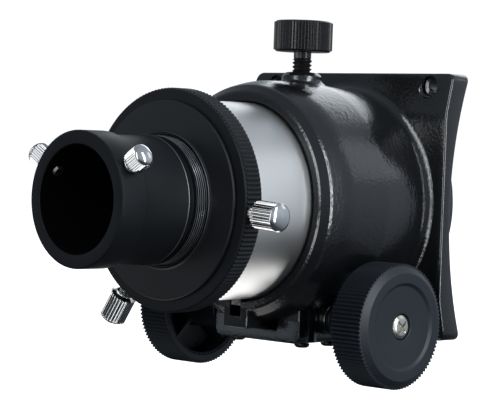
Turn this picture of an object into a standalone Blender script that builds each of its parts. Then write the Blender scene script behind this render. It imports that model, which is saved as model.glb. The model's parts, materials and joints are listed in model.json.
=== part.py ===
"""Two-inch rack-and-pinion focuser for a Newtonian reflector telescope.

The origin is the middle of the curved saddle that sits on the telescope tube. +Y points from the
eyepiece end into the telescope, +X is the side of the right-hand knob and +Z is up, towards the
lock screw. Dimensions are in millimetres, and MM turns them into Blender's metres.
"""
import math

import bmesh
import bpy
from mathutils import Matrix, Vector

MM = 0.001
WELD_DISTANCE = 0.000003  # metres, joins the doubled points that a Boolean can leave
GAP = 0.3                 # clearance left between neighbouring pieces
RUNNING_FIT = 0.08        # radial clearance of a shaft in its bush, or of a stud in its head
OVERCUT = 1.0             # how far a cutter runs past the face that it opens

# --- stations along the optical axis (Y), eyepiece end first -------------------------------
HOLDER_FRONT = -118.0
COLLAR_LENGTH = 9.5
COLLAR_STEP = 1.0         # length of the slope from the collar down to the neck
NECK_REAR = -91.0
GROOVE_REAR = -88.0
FLANGE_FRONT = -83.75
SOCKET_DEPTH = 7.4        # threaded socket for the eyepiece holder, from the flange's face
SOCKET_LIP = 0.5
HOLDER_THREAD_DEPTH = 7.0
BARREL_LENGTH = 25.0      # of the two-inch barrel, behind the ring's face
RING_FRONT = -82.35
RING_REAR = -76.4
RING_SKIRT_LENGTH = 8.0   # screws into the drawtube
BODY_FRONT = -51.0
CHAMFER_REAR = -48.2
BELLY_FRONT = -43.0
BELLY_REAR = -24.0
SPIGOT_REAR = 9.3
TUBE_REAR = 6.0
SHAFT_Y = -28.8
LOCK_Y = -24.5

# --- radii about the optical axis ------------------------------------------------------------
EYEPIECE_BORE_R = 15.9    # 1.25 in eyepiece barrel, running fit
COLLAR_R = 20.1
NECK_R = 18.9
HOLDER_THREAD_R = 19.3
GROOVE_R = 18.0
BARREL_R = 25.35          # 2 in barrel
BARREL_BORE_R = 22.6
TWO_INCH_BORE_R = 25.65
FLANGE_R = 30.5
SOCKET_LIP_R = 20.7       # raised lip round the holder's thread
RING_R = 33.76
TUBE_R = 30.5
TUBE_BORE_R = 28.3
BODY_BORE_R = 31.2
FACE_R = 34.2
CHAMFER_R = 37.2
BELLY_R = 37.8
WAIST_R = 36.5            # behind the belly, just in front of the plate
WAIST_Y = -11.0
SPIGOT_R = 36.6
SPIGOT_CHAMFER = 0.6
NECK_TAPER = 0.4          # how much wider the neck is at its rear end

# --- saddle plate -------------------------------------------------------------------------------
PLATE_HALF_X = 42.8
PLATE_HALF_Z = 42.0
PLATE_CORNER_R = 2.8
PLATE_FRONT = -3.8
PLATE_FLAT_HALF_Z = 29.0
PLATE_EDGE_FRONT = -0.7
SADDLE_R = 120.0          # radius of the telescope tube that the saddle fits
PLATE_HOLE_X = 33.4
PLATE_HOLE_Z = 38.0
PLATE_HOLE_R = 2.2
PLATE_COUNTERBORE_R = 3.4
PLATE_SEAT_Y = 0.1        # where the screw heads sit in the counterbores

# --- guide rings in the body's bore --------------------------------------------------------------
BORE_GROOVES = ((-14.0, -6.0), (-49.5, -41.5))
BORE_GROOVE_DEPTH = 0.9
GUIDE_RING_INSET = 0.3    # clearance in front of a ring in its groove
GUIDE_RING_LENGTH = 7.4
GUIDE_OPENING_X = 4.2     # half the opening at the bottom, where the rack runs

# --- rack, pinion and knobs ---------------------------------------------------------------------
SHAFT_Z = -35.9
MODULE = 0.5
PINION_TEETH = 12
PINION_PITCH_R = MODULE * PINION_TEETH / 2
TOOTH_PITCH = math.pi * MODULE
ADDENDUM = 0.4
DEDENDUM = 0.62
BACKLASH = 0.16
ROOT_RELIEF = 0.1         # how much deeper the middle of each tooth space is
FLANK_SLOPE = math.tan(math.radians(20.0))
RACK_FRONT = -50.7
RACK_REAR = -4.8
RACK_HALF_WIDTH = 2.0
RACK_TOP_Z = -29.8
RACK_PITCH_Z = SHAFT_Z + PINION_PITCH_R
RACK_END_LAND = 4.0       # untoothed length at each end of the rack
RACK_SCREW_R = 0.85
RACK_SCREW_TOP_Z = -28.7
RACK_SCREW_HEAD_R = 1.45
RACK_SCREW_SEAT_Z = -31.1
RACK_SCREW_HEAD_HEIGHT = 0.9
PINION_HALF_WIDTH = 3.0
CHAMBER_HALF_X = 4.4      # clearance round the pinion in the casting
CHAMBER_HALF_Y = 4.6
SHAFT_R = 2.5
SHAFT_HALF_LENGTH = 45.5
SHAFT_SHIFT = 0.9         # the shaft and its knobs sit this far towards +X
SHAFT_NECK_R = 2.2        # undercut at each side of the teeth
SHAFT_NECK_X = 4.0
SHAFT_CHAMFER = 0.3
SHAFT_TAP_R = 1.7
SHAFT_TAP_DEPTH = 8.5
BUSH_R = 3.6
BUSH_FLANGE_R = 4.7
BUSH_INNER_X = 10.0
SHAFT_BOSS_R = 4.9        # round bosses at the block's sides, half casting and half bracket
SHAFT_BOSS_X = 22.0
BUSH_FLANGE_X = 22.3
BUSH_OUTER_X = 23.5
WASHER_R = 4.8
WASHER_INNER_X = 23.7
WASHER_OUTER_X = 24.7
KNOB_R = 19.14
KNOB_FACE_R = 17.6
KNOB_RECESS_R = 13.4
KNOB_INNER_X = 36.0       # from the middle of the shaft, like the other X stations of the knob
KNOB_OUTER_X = 48.9
KNOB_RIM_INNER_R = 16.4
KNOB_WEB_X = 45.5
KNOB_HUB_R = 6.4
KNOB_HUB_X = 25.0         # from the middle of the focuser, so that both washers have room
KNOB_RECESS_DEPTH = 0.7
KNOB_BEVEL = 1.6
KNOB_RIM_CHAMFER = 0.4
KNOB_RIB_COUNT = 4
KNOB_RIB_ANGLE = 45.0
KNOB_RIB_HALF_THICKNESS = 0.7
KNOB_RIB_INSET = 2.0      # how far the ribs stay behind the rim's inner edge
KNOB_SCREW_R = 3.75
KNOB_SCREW_SEAT = 2.6     # depth of the screw's seat below the face
KNOB_SCREW_HEIGHT = 1.8
KNOB_SCREW_STUD_R = 1.35
KNOB_SCREW_REACH = 7.5    # how far the screw goes into the shaft
CROSS_HALF_LENGTH = 1.9
CROSS_HALF_WIDTH = 0.4
CROSS_DEPTH = 1.0

# --- pinion bracket and the casting above it ----------------------------------------------------
BRACKET_FRONT = -41.0
BRACKET_REAR = -16.6
BRACKET_HALF_X = 18.2
BRACKET_BOTTOM_Z = -43.5
BRACKET_CORNER_R = 2.4
BRACKET_FLOOR_Z = -39.7
BRACKET_CHEEK_X = 8.8     # inner face of each cheek, beside the rack's channel
CASTING_BOTTOM_Z = -36.3  # of the pedestal under the body
BRACKET_TOP_Z = -36.6
CHANNEL_HALF_X = 5.0
CHANNEL_BOTTOM_Z = -39.4
SLOT_HALF_X = 2.3
SLOT_BOTTOM_Z = -35.8
CHANNEL_TAIL = 6.0        # how far the channel runs back between the bracket's cheeks
BRACKET_SCREW_X = 13.9
BRACKET_SCREW_DY = 6.1
BRACKET_SCREW_R = 1.4
BRACKET_SCREW_TOP_Z = -30.6
BRACKET_SCREW_HEAD_R = 2.4
BRACKET_SCREW_HEAD_HEIGHT = 1.3
BRACKET_TAP_R = 1.75
BRACKET_TAP_TOP_Z = -30.2
BRACKET_BOSS_R = 3.4
BRACKET_BOSS_X = 15.5
INSIDE_BODY_Z = -26.0     # below the body, a height inside its wall where joined shapes end
BELOW_BRACKET_Z = -46.0   # past everything under the body

# --- lock screw on top --------------------------------------------------------------------------
BOSS_R = 6.3
BOSS_TOP_Z = 41.0
BOSS_CHAMFER = 1.4
BOSS_FOOT_R = 6.9
BOSS_FOOT_Z = 30.0
LOCK_THREAD_R = 3.2
LOCK_NECK_R = 2.8
LOCK_HEAD_R = 9.35
LOCK_TIP_Z = 33.0
LOCK_NECK_Z = 46.2
LOCK_HEAD_Z = 48.0
LOCK_TOP_Z = 57.3
LOCK_HEAD_CHAMFER = 0.9
LOCK_PAD_R = 2.9

# --- chrome thumb screws ------------------------------------------------------------------------
STUD_R = 1.9
STUD_IN_HEAD = 4.0        # length of the stud inside its head
THUMB_SHOULDER_R = 2.7
THUMB_KNURL_START = 1.9   # along the head, from its seat
THUMB_DOME = 2.4          # height of the polished dome on its end
HOLDER_SCREW_Y = -113.0
HOLDER_SCREW_ANGLES = (31.0, 151.0)
HOLDER_SCREW_TIP = 15.4
HOLDER_SCREW_SEAT = 20.5
HOLDER_SCREW_HEAD_R = 3.5
HOLDER_SCREW_HEAD_LENGTH = 7.6
RING_SCREW_Y = -79.4
RING_SCREW_ANGLES = (-4.0, -124.0)
RING_SCREW_TIP = 25.65
RING_SCREW_SEAT = 36.06
RING_SCREW_HEAD_R = 4.2
RING_SCREW_HEAD_LENGTH = 9.8

COLOURS = {               # name: (red, green, blue), roughness, metallic
    "cast_black_paint": ((0.018, 0.018, 0.020), 0.22, 0.0),
    "black_anodised": ((0.022, 0.023, 0.027), 0.40, 0.6),
    "satin_aluminium": ((0.66, 0.67, 0.69), 0.33, 1.0),
    "chrome": ((0.80, 0.80, 0.80), 0.10, 1.0),
    "nickel_steel": ((0.55, 0.54, 0.52), 0.28, 1.0),
    "knob_plastic": ((0.030, 0.033, 0.040), 0.50, 0.0),
    "black_steel": ((0.020, 0.020, 0.021), 0.35, 0.8),
    "black_nylon": ((0.015, 0.015, 0.016), 0.50, 0.0),
}

ALONG_Y = Matrix(((1, 0, 0), (0, 0, 1), (0, -1, 0))).to_4x4()      # turned axis to +Y
ALONG_X = Matrix(((0, 0, 1), (1, 0, 0), (0, 1, 0))).to_4x4()       # turned axis to +X
ALONG_MINUS_X = Matrix(((0, 0, -1), (-1, 0, 0), (0, 1, 0))).to_4x4()
UPRIGHT = Matrix.Identity(4)


def clear_scene():
    for old in list(bpy.data.objects):
        bpy.data.objects.remove(old, do_unlink=True)


def make_collection(name):
    collection = bpy.data.collections.new(name)
    bpy.context.scene.collection.children.link(collection)
    return collection


def make_materials():
    made = {}
    for name, (colour, roughness, metallic) in COLOURS.items():
        material = bpy.data.materials.new(name)
        material.use_nodes = True
        shader = material.node_tree.nodes["Principled BSDF"]
        shader.inputs["Base Color"].default_value = (*colour, 1.0)
        shader.inputs["Roughness"].default_value = roughness
        shader.inputs["Metallic"].default_value = metallic
        made[name] = material
    return made


def placed(rotation, x, y, z):
    """A rotation with its origin moved to a point given in millimetres."""
    return Matrix.Translation(Vector((x, y, z)) * MM) @ rotation


def add_object(name, mesh, matrix, finish):
    """Link a mesh as a named piece, or as a cutter when it has no finish."""
    piece = bpy.data.objects.new(name, mesh)
    piece.matrix_world = matrix
    if finish is None:
        CUTTERS.objects.link(piece)
        piece.hide_render = True
        piece.display_type = "WIRE"
    else:
        PARTS.objects.link(piece)
        mesh.materials.append(MATERIALS[finish])
    return piece


def turned(name, profile, matrix, finish=None, segments=64):
    """Turn a profile of (distance along the axis, radius) about the local Z axis."""
    closed = profile[0][1] > 0
    loop = profile
    area = sum(a[1] * b[0] - b[1] * a[0] for a, b in zip(loop, loop[1:] + loop[:1]))
    if area > 0:
        loop = loop[::-1]
    mesh = bpy.data.meshes.new(name)
    points = [(radius * MM, 0.0, along * MM) for along, radius in loop]
    edges = [(i, i + 1) for i in range(len(points) - 1)]
    if closed:
        edges.append((len(points) - 1, 0))
    mesh.from_pydata(points, edges, [])
    piece = add_object(name, mesh, matrix, finish)
    screw = piece.modifiers.new("turn", "SCREW")
    screw.axis = "Z"
    screw.angle = math.tau
    screw.steps = segments
    screw.render_steps = segments
    screw.use_merge_vertices = True
    screw.merge_threshold = 0.00001
    screw.use_smooth_shade = True
    return piece


def cylinder(name, radius, low, high, matrix, finish=None, segments=32):
    profile = [(high, 0.0), (high, radius), (low, radius), (low, 0.0)]
    return turned(name, profile, matrix, finish, segments)


def box(name, low, high, finish=None):
    """A box between two corners in millimetres, made from a unit cube."""
    low, high = Vector(low) * MM, Vector(high) * MM
    mesh = bpy.data.meshes.new(name)
    shape = bmesh.new()
    bmesh.ops.create_cube(shape, size=1.0)
    bmesh.ops.scale(shape, vec=high - low, verts=shape.verts)
    shape.to_mesh(mesh)
    shape.free()
    return add_object(name, mesh, Matrix.Translation((low + high) / 2), finish)


def extruded(name, outline, half_thickness, matrix, finish=None):
    """A flat outline in the local XY plane, thickened both ways along local Z."""
    curve = bpy.data.curves.new(name, "CURVE")
    curve.dimensions = "2D"
    curve.fill_mode = "BOTH"
    curve.extrude = half_thickness * MM
    spline = curve.splines.new("POLY")
    spline.points.add(len(outline) - 1)
    for point, (x, y) in zip(spline.points, outline):
        point.co = (x * MM, y * MM, 0.0, 1.0)
    spline.use_cyclic_u = True
    sketch = bpy.data.objects.new(name + "_outline", curve)
    bpy.context.scene.collection.objects.link(sketch)
    solid = sketch.evaluated_get(bpy.context.evaluated_depsgraph_get())
    mesh = bpy.data.meshes.new_from_object(solid)
    bpy.data.objects.remove(sketch, do_unlink=True)
    shape = bmesh.new()
    shape.from_mesh(mesh)
    bmesh.ops.remove_doubles(shape, verts=shape.verts, dist=0.000001)
    bmesh.ops.dissolve_limit(shape, angle_limit=0.001, verts=shape.verts, edges=shape.edges)
    bmesh.ops.recalc_face_normals(shape, faces=shape.faces)
    shape.to_mesh(mesh)
    shape.free()
    mesh.name = name
    mesh.materials.clear()
    return add_object(name, mesh, matrix, finish)


def combine(piece, operand, operation):
    modifier = piece.modifiers.new(operation.lower() + "_" + operand.name, "BOOLEAN")
    modifier.operation = operation
    modifier.solver = "EXACT"
    modifier.object = operand
    weld = piece.modifiers.new("weld_" + operand.name, "WELD")
    weld.merge_threshold = WELD_DISTANCE


def join(piece, *operands):
    for operand in operands:
        combine(piece, operand, "UNION")


def cut(piece, *operands):
    for operand in operands:
        combine(piece, operand, "DIFFERENCE")


def arc(centre, radius, start, end, steps):
    """Points on a circle from one angle to another, both in degrees."""
    angles = [math.radians(start + (end - start) * i / steps) for i in range(steps + 1)]
    return [(centre[0] + radius * math.cos(a), centre[1] + radius * math.sin(a)) for a in angles]


def rounded_rectangle(half_x, half_y, radius, steps=5):
    corners = ((1, 1, 0), (-1, 1, 90), (-1, -1, 180), (1, -1, 270))
    outline = []
    for sx, sy, start in corners:
        centre = (sx * (half_x - radius), sy * (half_y - radius))
        outline += arc(centre, radius, start, start + 90, steps)
    return outline


def radial_frame(angle, y):
    """Local Z along a radius of the optical axis, at an angle from +X towards +Z."""
    turn = Matrix.Rotation(math.radians(90.0 - angle), 4, "Y")
    return placed(turn, 0.0, y, 0.0)


def group(name, x, y, z, pieces):
    """An empty on a joint's axis that carries the pieces moving with it."""
    empty = bpy.data.objects.new(name, None)
    empty.location = Vector((x, y, z)) * MM
    PARTS.objects.link(empty)
    for piece in pieces:
        piece.parent = empty
        piece.matrix_parent_inverse = Matrix.Translation(-empty.location)


# --- housing -----------------------------------------------------------------------------------
def saddle_plate():
    """Outline of the plate in the YZ plane, spread along X, with rounded corners."""
    half_angle = math.degrees(math.asin(PLATE_HALF_Z / SADDLE_R))
    rear = arc((0.0, SADDLE_R), SADDLE_R, -90 - half_angle, -90 + half_angle, 18)
    front = [(PLATE_HALF_Z, PLATE_EDGE_FRONT), (PLATE_FLAT_HALF_Z, PLATE_FRONT),
             (-PLATE_FLAT_HALF_Z, PLATE_FRONT), (-PLATE_HALF_Z, PLATE_EDGE_FRONT)]
    sideways = Matrix(((0, 0, 1), (0, 1, 0), (-1, 0, 0))).to_4x4()
    plate = extruded("plate_blank", rear + front, PLATE_HALF_X, sideways)
    outline = rounded_rectangle(PLATE_HALF_X, PLATE_HALF_Z, PLATE_CORNER_R)
    rear_edge = SADDLE_R * (1 - math.cos(math.radians(half_angle)))
    corners = extruded("plate_corners", outline, rear_edge + 2 * OVERCUT, ALONG_Y)
    combine(plate, corners, "INTERSECT")
    back, front_side = rear_edge + OVERCUT, PLATE_FRONT - OVERCUT
    stepped = [(back, 0.0), (back, PLATE_HOLE_R), (PLATE_SEAT_Y, PLATE_HOLE_R),
               (PLATE_SEAT_Y, PLATE_COUNTERBORE_R), (front_side, PLATE_COUNTERBORE_R),
               (front_side, 0.0)]
    for i, (sx, sz) in enumerate(((-1, -1), (1, -1), (-1, 1), (1, 1)), start=1):
        matrix = placed(ALONG_Y, sx * PLATE_HOLE_X, 0.0, sz * PLATE_HOLE_Z)
        cut(plate, turned(f"plate_hole_{i}", stepped, matrix, None, 24))
    return plate


def bracket_bosses(prefix, low, high, finish=None):
    """Four upright cylinders round the bracket screws."""
    bosses = []
    for i, (sx, sy) in enumerate(((-1, -1), (1, -1), (-1, 1), (1, 1)), start=1):
        matrix = placed(UPRIGHT, sx * BRACKET_BOSS_X, SHAFT_Y + sy * BRACKET_SCREW_DY, 0.0)
        bosses.append(cylinder(f"{prefix}_{i}", BRACKET_BOSS_R, low, high, matrix, finish, 20))
    return bosses


def bracket_screw_places():
    return [(sx * BRACKET_SCREW_X, SHAFT_Y + sy * BRACKET_SCREW_DY)
            for sy in (-1, 1) for sx in (-1, 1)]


def shaft_channel(name, bottom):
    """Round clearance for the bushes, open downwards."""
    reach = SHAFT_BOSS_X + OVERCUT
    radius = BUSH_R + GAP
    matrix = placed(ALONG_X, 0.0, SHAFT_Y, SHAFT_Z)
    round_top = cylinder(name + "_round", radius, -reach, reach, matrix, None, 28)
    low = (-reach, SHAFT_Y - radius, bottom)
    high = (reach, SHAFT_Y + radius, SHAFT_Z)
    return round_top, box(name + "_slot", low, high)


def side_bosses(prefix, low, high):
    """The part of the round shaft bosses between two heights, one at each side."""
    bosses = []
    inner = BRACKET_HALF_X - OVERCUT
    reach, wide = SHAFT_BOSS_X + OVERCUT, SHAFT_BOSS_R + OVERCUT
    for side, facing in (("left", ALONG_MINUS_X), ("right", ALONG_X)):
        matrix = placed(facing, 0.0, SHAFT_Y, SHAFT_Z)
        boss = cylinder(f"{prefix}_{side}", SHAFT_BOSS_R, inner, SHAFT_BOSS_X, matrix, None, 28)
        window = box(f"{prefix}_{side}_window", (-reach, SHAFT_Y - wide, low),
                     (reach, SHAFT_Y + wide, high))
        combine(boss, window, "INTERSECT")
        bosses.append(boss)
    return bosses


def make_housing():
    outside = [(SPIGOT_REAR, 0.0), (SPIGOT_REAR, SPIGOT_R - SPIGOT_CHAMFER),
               (SPIGOT_REAR - SPIGOT_CHAMFER, SPIGOT_R),
               (PLATE_FRONT, SPIGOT_R), (WAIST_Y, WAIST_R + 0.4), (BELLY_REAR, BELLY_R),
               (BELLY_FRONT, BELLY_R), (CHAMFER_REAR, CHAMFER_R), (BODY_FRONT, FACE_R),
               (BODY_FRONT, 0.0)]
    housing = turned("focuser_housing", outside, ALONG_Y, "cast_black_paint", 48)
    boss_profile = [(BOSS_TOP_Z, 0.0), (BOSS_TOP_Z, BOSS_R - BOSS_CHAMFER),
                    (BOSS_TOP_Z - BOSS_CHAMFER, BOSS_R), (BOSS_FOOT_Z, BOSS_FOOT_R),
                    (BOSS_FOOT_Z, 0.0)]
    boss = turned("boss_body", boss_profile, placed(UPRIGHT, 0.0, LOCK_Y, 0.0), None, 32)
    pedestal = box("pedestal", (-BRACKET_HALF_X, BRACKET_FRONT, CASTING_BOTTOM_Z),
                   (BRACKET_HALF_X, BRACKET_REAR, INSIDE_BODY_Z))
    channel = box("rack_channel_block", (-CHANNEL_HALF_X, BODY_FRONT, CHANNEL_BOTTOM_Z),
                  (CHANNEL_HALF_X, BRACKET_FRONT + CHANNEL_TAIL, INSIDE_BODY_Z))
    join(housing, saddle_plate(), boss, pedestal, channel)
    join(housing, *bracket_bosses("pedestal_boss", CASTING_BOTTOM_Z, INSIDE_BODY_Z))
    join(housing, *side_bosses("casting_boss", CASTING_BOTTOM_Z + 0.1, INSIDE_BODY_Z))

    groove_r = BODY_BORE_R + BORE_GROOVE_DEPTH
    rear, front = SPIGOT_REAR + OVERCUT, BODY_FRONT - OVERCUT
    bore = [(rear, 0.0), (rear, BODY_BORE_R)]
    for low, high in BORE_GROOVES:
        bore += [(high, BODY_BORE_R), (high, groove_r), (low, groove_r), (low, BODY_BORE_R)]
    bore += [(front, BODY_BORE_R), (front, 0.0)]
    cut(housing, turned("body_bore", bore, ALONG_Y, None, 48))
    cut(housing, box("rack_slot", (-SLOT_HALF_X, front, SLOT_BOTTOM_Z),
                     (SLOT_HALF_X, rear, INSIDE_BODY_Z)))
    cut(housing, box("pinion_chamber", (-CHAMBER_HALF_X, SHAFT_Y - CHAMBER_HALF_Y, BELOW_BRACKET_Z),
                     (CHAMBER_HALF_X, SHAFT_Y + CHAMBER_HALF_Y, INSIDE_BODY_Z)))
    cut(housing, *shaft_channel("housing_shaft", BELOW_BRACKET_Z))
    for i, (x, y) in enumerate(bracket_screw_places(), start=1):
        cut(housing, cylinder(f"pedestal_tap_{i}", BRACKET_TAP_R, BELOW_BRACKET_Z, BRACKET_TAP_TOP_Z,
                              placed(UPRIGHT, x, y, 0.0), None, 16))
    cut(housing, cylinder("lock_tap", LOCK_THREAD_R + GAP, BOSS_FOOT_Z - OVERCUT, BOSS_TOP_Z + OVERCUT,
                          placed(UPRIGHT, 0.0, LOCK_Y, 0.0), None, 32))
    return housing


def make_guide_rings():
    """Two split rings in the bore's grooves, open at the bottom for the rack."""
    rings = []
    opening = box("guide_opening", (-GUIDE_OPENING_X, BODY_FRONT, BELOW_BRACKET_Z),
                  (GUIDE_OPENING_X, SPIGOT_REAR, INSIDE_BODY_Z))
    inner, outer = TUBE_R + GAP, BODY_BORE_R + BORE_GROOVE_DEPTH - GAP
    for name, groove in zip(("rear_guide_ring", "front_guide_ring"), BORE_GROOVES):
        front = groove[0] + GUIDE_RING_INSET
        rear = front + GUIDE_RING_LENGTH
        section = [(rear, inner), (rear, outer), (front, outer), (front, inner)]
        ring = turned(name, section, ALONG_Y, "black_nylon", 36)
        cut(ring, opening)
        rings.append(ring)
    return rings


def make_bracket():
    """U-shaped block under the shaft, with rounded lower corners."""
    corner = BRACKET_CORNER_R
    lower_right = arc((BRACKET_HALF_X - corner, BRACKET_BOTTOM_Z + corner), corner, -90, 0, 5)
    lower_left = arc((-BRACKET_HALF_X + corner, BRACKET_BOTTOM_Z + corner), corner, 180, 270, 5)
    top = BRACKET_TOP_Z
    outline = lower_left + lower_right + [
        (BRACKET_HALF_X, top), (BRACKET_CHEEK_X, top), (BRACKET_CHEEK_X, BRACKET_FLOOR_Z),
        (-BRACKET_CHEEK_X, BRACKET_FLOOR_Z), (-BRACKET_CHEEK_X, top), (-BRACKET_HALF_X, top)]
    middle = (BRACKET_FRONT + BRACKET_REAR) / 2
    facing = placed(Matrix(((1, 0, 0), (0, 0, -1), (0, 1, 0))).to_4x4(), 0.0, middle, 0.0)
    bracket = extruded("pinion_bracket", outline, (BRACKET_REAR - BRACKET_FRONT) / 2, facing,
                       "cast_black_paint")
    join(bracket, *bracket_bosses("bracket_boss", BRACKET_BOTTOM_Z + 0.4, top))
    join(bracket, *side_bosses("bracket_side_boss", BELOW_BRACKET_Z, top - 0.1))
    cut(bracket, cylinder("belly_clearance", BELLY_R + GAP, BRACKET_FRONT - OVERCUT,
                          BRACKET_REAR + OVERCUT, ALONG_Y, None, 48))
    matrix = placed(ALONG_X, 0.0, SHAFT_Y, SHAFT_Z)
    reach = SHAFT_BOSS_X + OVERCUT
    cut(bracket, cylinder("bracket_saddle", BUSH_R + GAP, -reach, reach, matrix, None, 28))
    for i, (x, y) in enumerate(bracket_screw_places(), start=1):
        cut(bracket, cylinder(f"bracket_hole_{i}", BRACKET_TAP_R, BELOW_BRACKET_Z, top + OVERCUT,
                              placed(UPRIGHT, x, y, 0.0), None, 16))
    return bracket


def make_bracket_screws():
    """Pan-head screws from below, each with a round socket in its head."""
    screws = []
    seat = BRACKET_BOTTOM_Z - 0.2
    end = seat - BRACKET_SCREW_HEAD_HEIGHT
    socket_r, socket_depth = 1.0, 0.8
    profile = [(BRACKET_SCREW_TOP_Z, 0.0), (BRACKET_SCREW_TOP_Z, BRACKET_SCREW_R),
               (seat, BRACKET_SCREW_R), (seat, BRACKET_SCREW_HEAD_R),
               (end + 0.5, BRACKET_SCREW_HEAD_R), (end, BRACKET_SCREW_HEAD_R - 0.5),
               (end, socket_r), (end + socket_depth, socket_r), (end + socket_depth, 0.0)]
    for i, (x, y) in enumerate(bracket_screw_places(), start=1):
        screws.append(turned(f"bracket_screw_{i}", profile, placed(UPRIGHT, x, y, 0.0),
                             "black_steel", 16))
    return screws


def make_bushes():
    """Flanged bushes that carry the pinion shaft, one at each side."""
    inner = SHAFT_R + RUNNING_FIT
    section = [(BUSH_OUTER_X, inner), (BUSH_OUTER_X, BUSH_FLANGE_R), (BUSH_FLANGE_X, BUSH_FLANGE_R),
               (BUSH_FLANGE_X, BUSH_R), (BUSH_INNER_X, BUSH_R), (BUSH_INNER_X, inner)]
    sides = (("left", ALONG_MINUS_X), ("right", ALONG_X))
    return [turned(f"shaft_bush_{side}", section, placed(facing, 0.0, SHAFT_Y, SHAFT_Z),
                   "black_nylon", 20)
            for side, facing in sides]


# --- drawtube ------------------------------------------------------------------------------------
def make_drawtube():
    """Plain tube with a flat-bottomed slot for the rack, open at its rear end."""
    front = RING_REAR + GAP
    section = [(TUBE_REAR, TUBE_BORE_R), (TUBE_REAR, TUBE_R), (front, TUBE_R), (front, TUBE_BORE_R)]
    tube = turned("drawtube", section, ALONG_Y, "satin_aluminium", 48)
    cut(tube, box("tube_slot", (-SLOT_HALF_X, RACK_FRONT - GAP, -TUBE_R - OVERCUT),
                  (SLOT_HALF_X, TUBE_REAR + OVERCUT, RACK_TOP_Z + GAP)))
    for i, y in enumerate(rack_screw_places(), start=1):
        cut(tube, cylinder(f"tube_tap_{i}", RACK_SCREW_R + GAP, RACK_TOP_Z - OVERCUT,
                           OVERCUT - TUBE_BORE_R, placed(UPRIGHT, 0.0, y, 0.0), None, 16))
    return tube


def rack_screw_places():
    return (RACK_FRONT + RACK_END_LAND / 2, RACK_REAR - RACK_END_LAND / 2)


def tooth_half_width(depth):
    """Half a tooth's width where it stands depth above its pitch line."""
    return (TOOTH_PITCH - BACKLASH) / 4 - depth * FLANK_SLOPE


def make_rack():
    """Outline in the YZ plane: teeth point down and one stands right above the pinion."""
    root_z = RACK_PITCH_Z + DEDENDUM
    tip_z = RACK_PITCH_Z - ADDENDUM
    first = math.ceil((RACK_FRONT + RACK_END_LAND - SHAFT_Y) / TOOTH_PITCH)
    last = math.floor((RACK_REAR - RACK_END_LAND - SHAFT_Y) / TOOTH_PITCH)
    land_z = root_z - ROOT_RELIEF
    outline = [(RACK_FRONT, RACK_TOP_Z), (RACK_FRONT, land_z)]
    for index in range(first, last + 1):
        centre = SHAFT_Y + index * TOOTH_PITCH
        root, tip = tooth_half_width(-DEDENDUM), tooth_half_width(ADDENDUM)
        outline += [(centre - TOOTH_PITCH / 2, root_z + ROOT_RELIEF), (centre - root, root_z),
                    (centre - tip, tip_z), (centre + tip, tip_z), (centre + root, root_z)]
    outline += [(RACK_REAR, land_z), (RACK_REAR, RACK_TOP_Z)]
    sideways = Matrix(((0, 0, 1), (1, 0, 0), (0, 1, 0))).to_4x4()
    rack = extruded("rack", outline, RACK_HALF_WIDTH, sideways, "black_steel")
    for i, y in enumerate(rack_screw_places(), start=1):
        hole_r, sink_r = RACK_SCREW_R + GAP, RACK_SCREW_HEAD_R + GAP
        top, seat, end = RACK_TOP_Z + OVERCUT, RACK_SCREW_SEAT_Z + GAP, tip_z - OVERCUT
        profile = [(top, 0.0), (top, hole_r), (seat, hole_r), (seat, sink_r), (end, sink_r), (end, 0.0)]
        cut(rack, turned(f"rack_hole_{i}", profile, placed(UPRIGHT, 0.0, y, 0.0), None, 16))
    return rack


def make_rack_screws():
    """Small screws whose heads are sunk in the rack's ends."""
    seat = RACK_SCREW_SEAT_Z
    end = seat - RACK_SCREW_HEAD_HEIGHT
    profile = [(RACK_SCREW_TOP_Z, 0.0), (RACK_SCREW_TOP_Z, RACK_SCREW_R), (seat, RACK_SCREW_R),
               (seat, RACK_SCREW_HEAD_R), (end, RACK_SCREW_HEAD_R), (end, 0.0)]
    return [turned(f"rack_screw_{i}", profile, placed(UPRIGHT, 0.0, y, 0.0), "nickel_steel", 16)
            for i, y in enumerate(rack_screw_places(), start=1)]


def make_eyepiece_ring():
    """Knurled ring with the two-inch bore; its skirt screws into the drawtube."""
    skirt_rear, skirt_r = RING_REAR + RING_SKIRT_LENGTH, TUBE_BORE_R - GAP
    section = [(skirt_rear, TWO_INCH_BORE_R), (skirt_rear, skirt_r), (RING_REAR, skirt_r),
               (RING_REAR, RING_R), (RING_FRONT, RING_R), (RING_FRONT, TWO_INCH_BORE_R)]
    ring = turned("eyepiece_ring", section, ALONG_Y, "black_anodised", 48)
    for i, angle in enumerate(RING_SCREW_ANGLES, start=1):
        cut(ring, cylinder(f"ring_tap_{i}", STUD_R + GAP, TWO_INCH_BORE_R - OVERCUT, RING_R + OVERCUT,
                           radial_frame(angle, RING_SCREW_Y), None, 20))
    return ring


# --- eyepiece adapter ----------------------------------------------------------------------------
def make_adapter():
    """Two-inch barrel with a wide flange and a threaded socket for the 1.25 in holder."""
    socket_r = HOLDER_THREAD_R + GAP
    socket_rear = FLANGE_FRONT + SOCKET_DEPTH
    lip = FLANGE_FRONT - SOCKET_LIP
    barrel_rear = RING_FRONT + BARREL_LENGTH
    flange_rear = RING_FRONT - GAP
    section = [(barrel_rear, BARREL_BORE_R), (barrel_rear, BARREL_R), (flange_rear, BARREL_R),
               (flange_rear, FLANGE_R), (FLANGE_FRONT, FLANGE_R), (FLANGE_FRONT, SOCKET_LIP_R),
               (lip, SOCKET_LIP_R), (lip, socket_r),
               (socket_rear, socket_r), (socket_rear, BARREL_BORE_R)]
    return turned("eyepiece_adapter", section, ALONG_Y, "black_anodised", 40)


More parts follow.
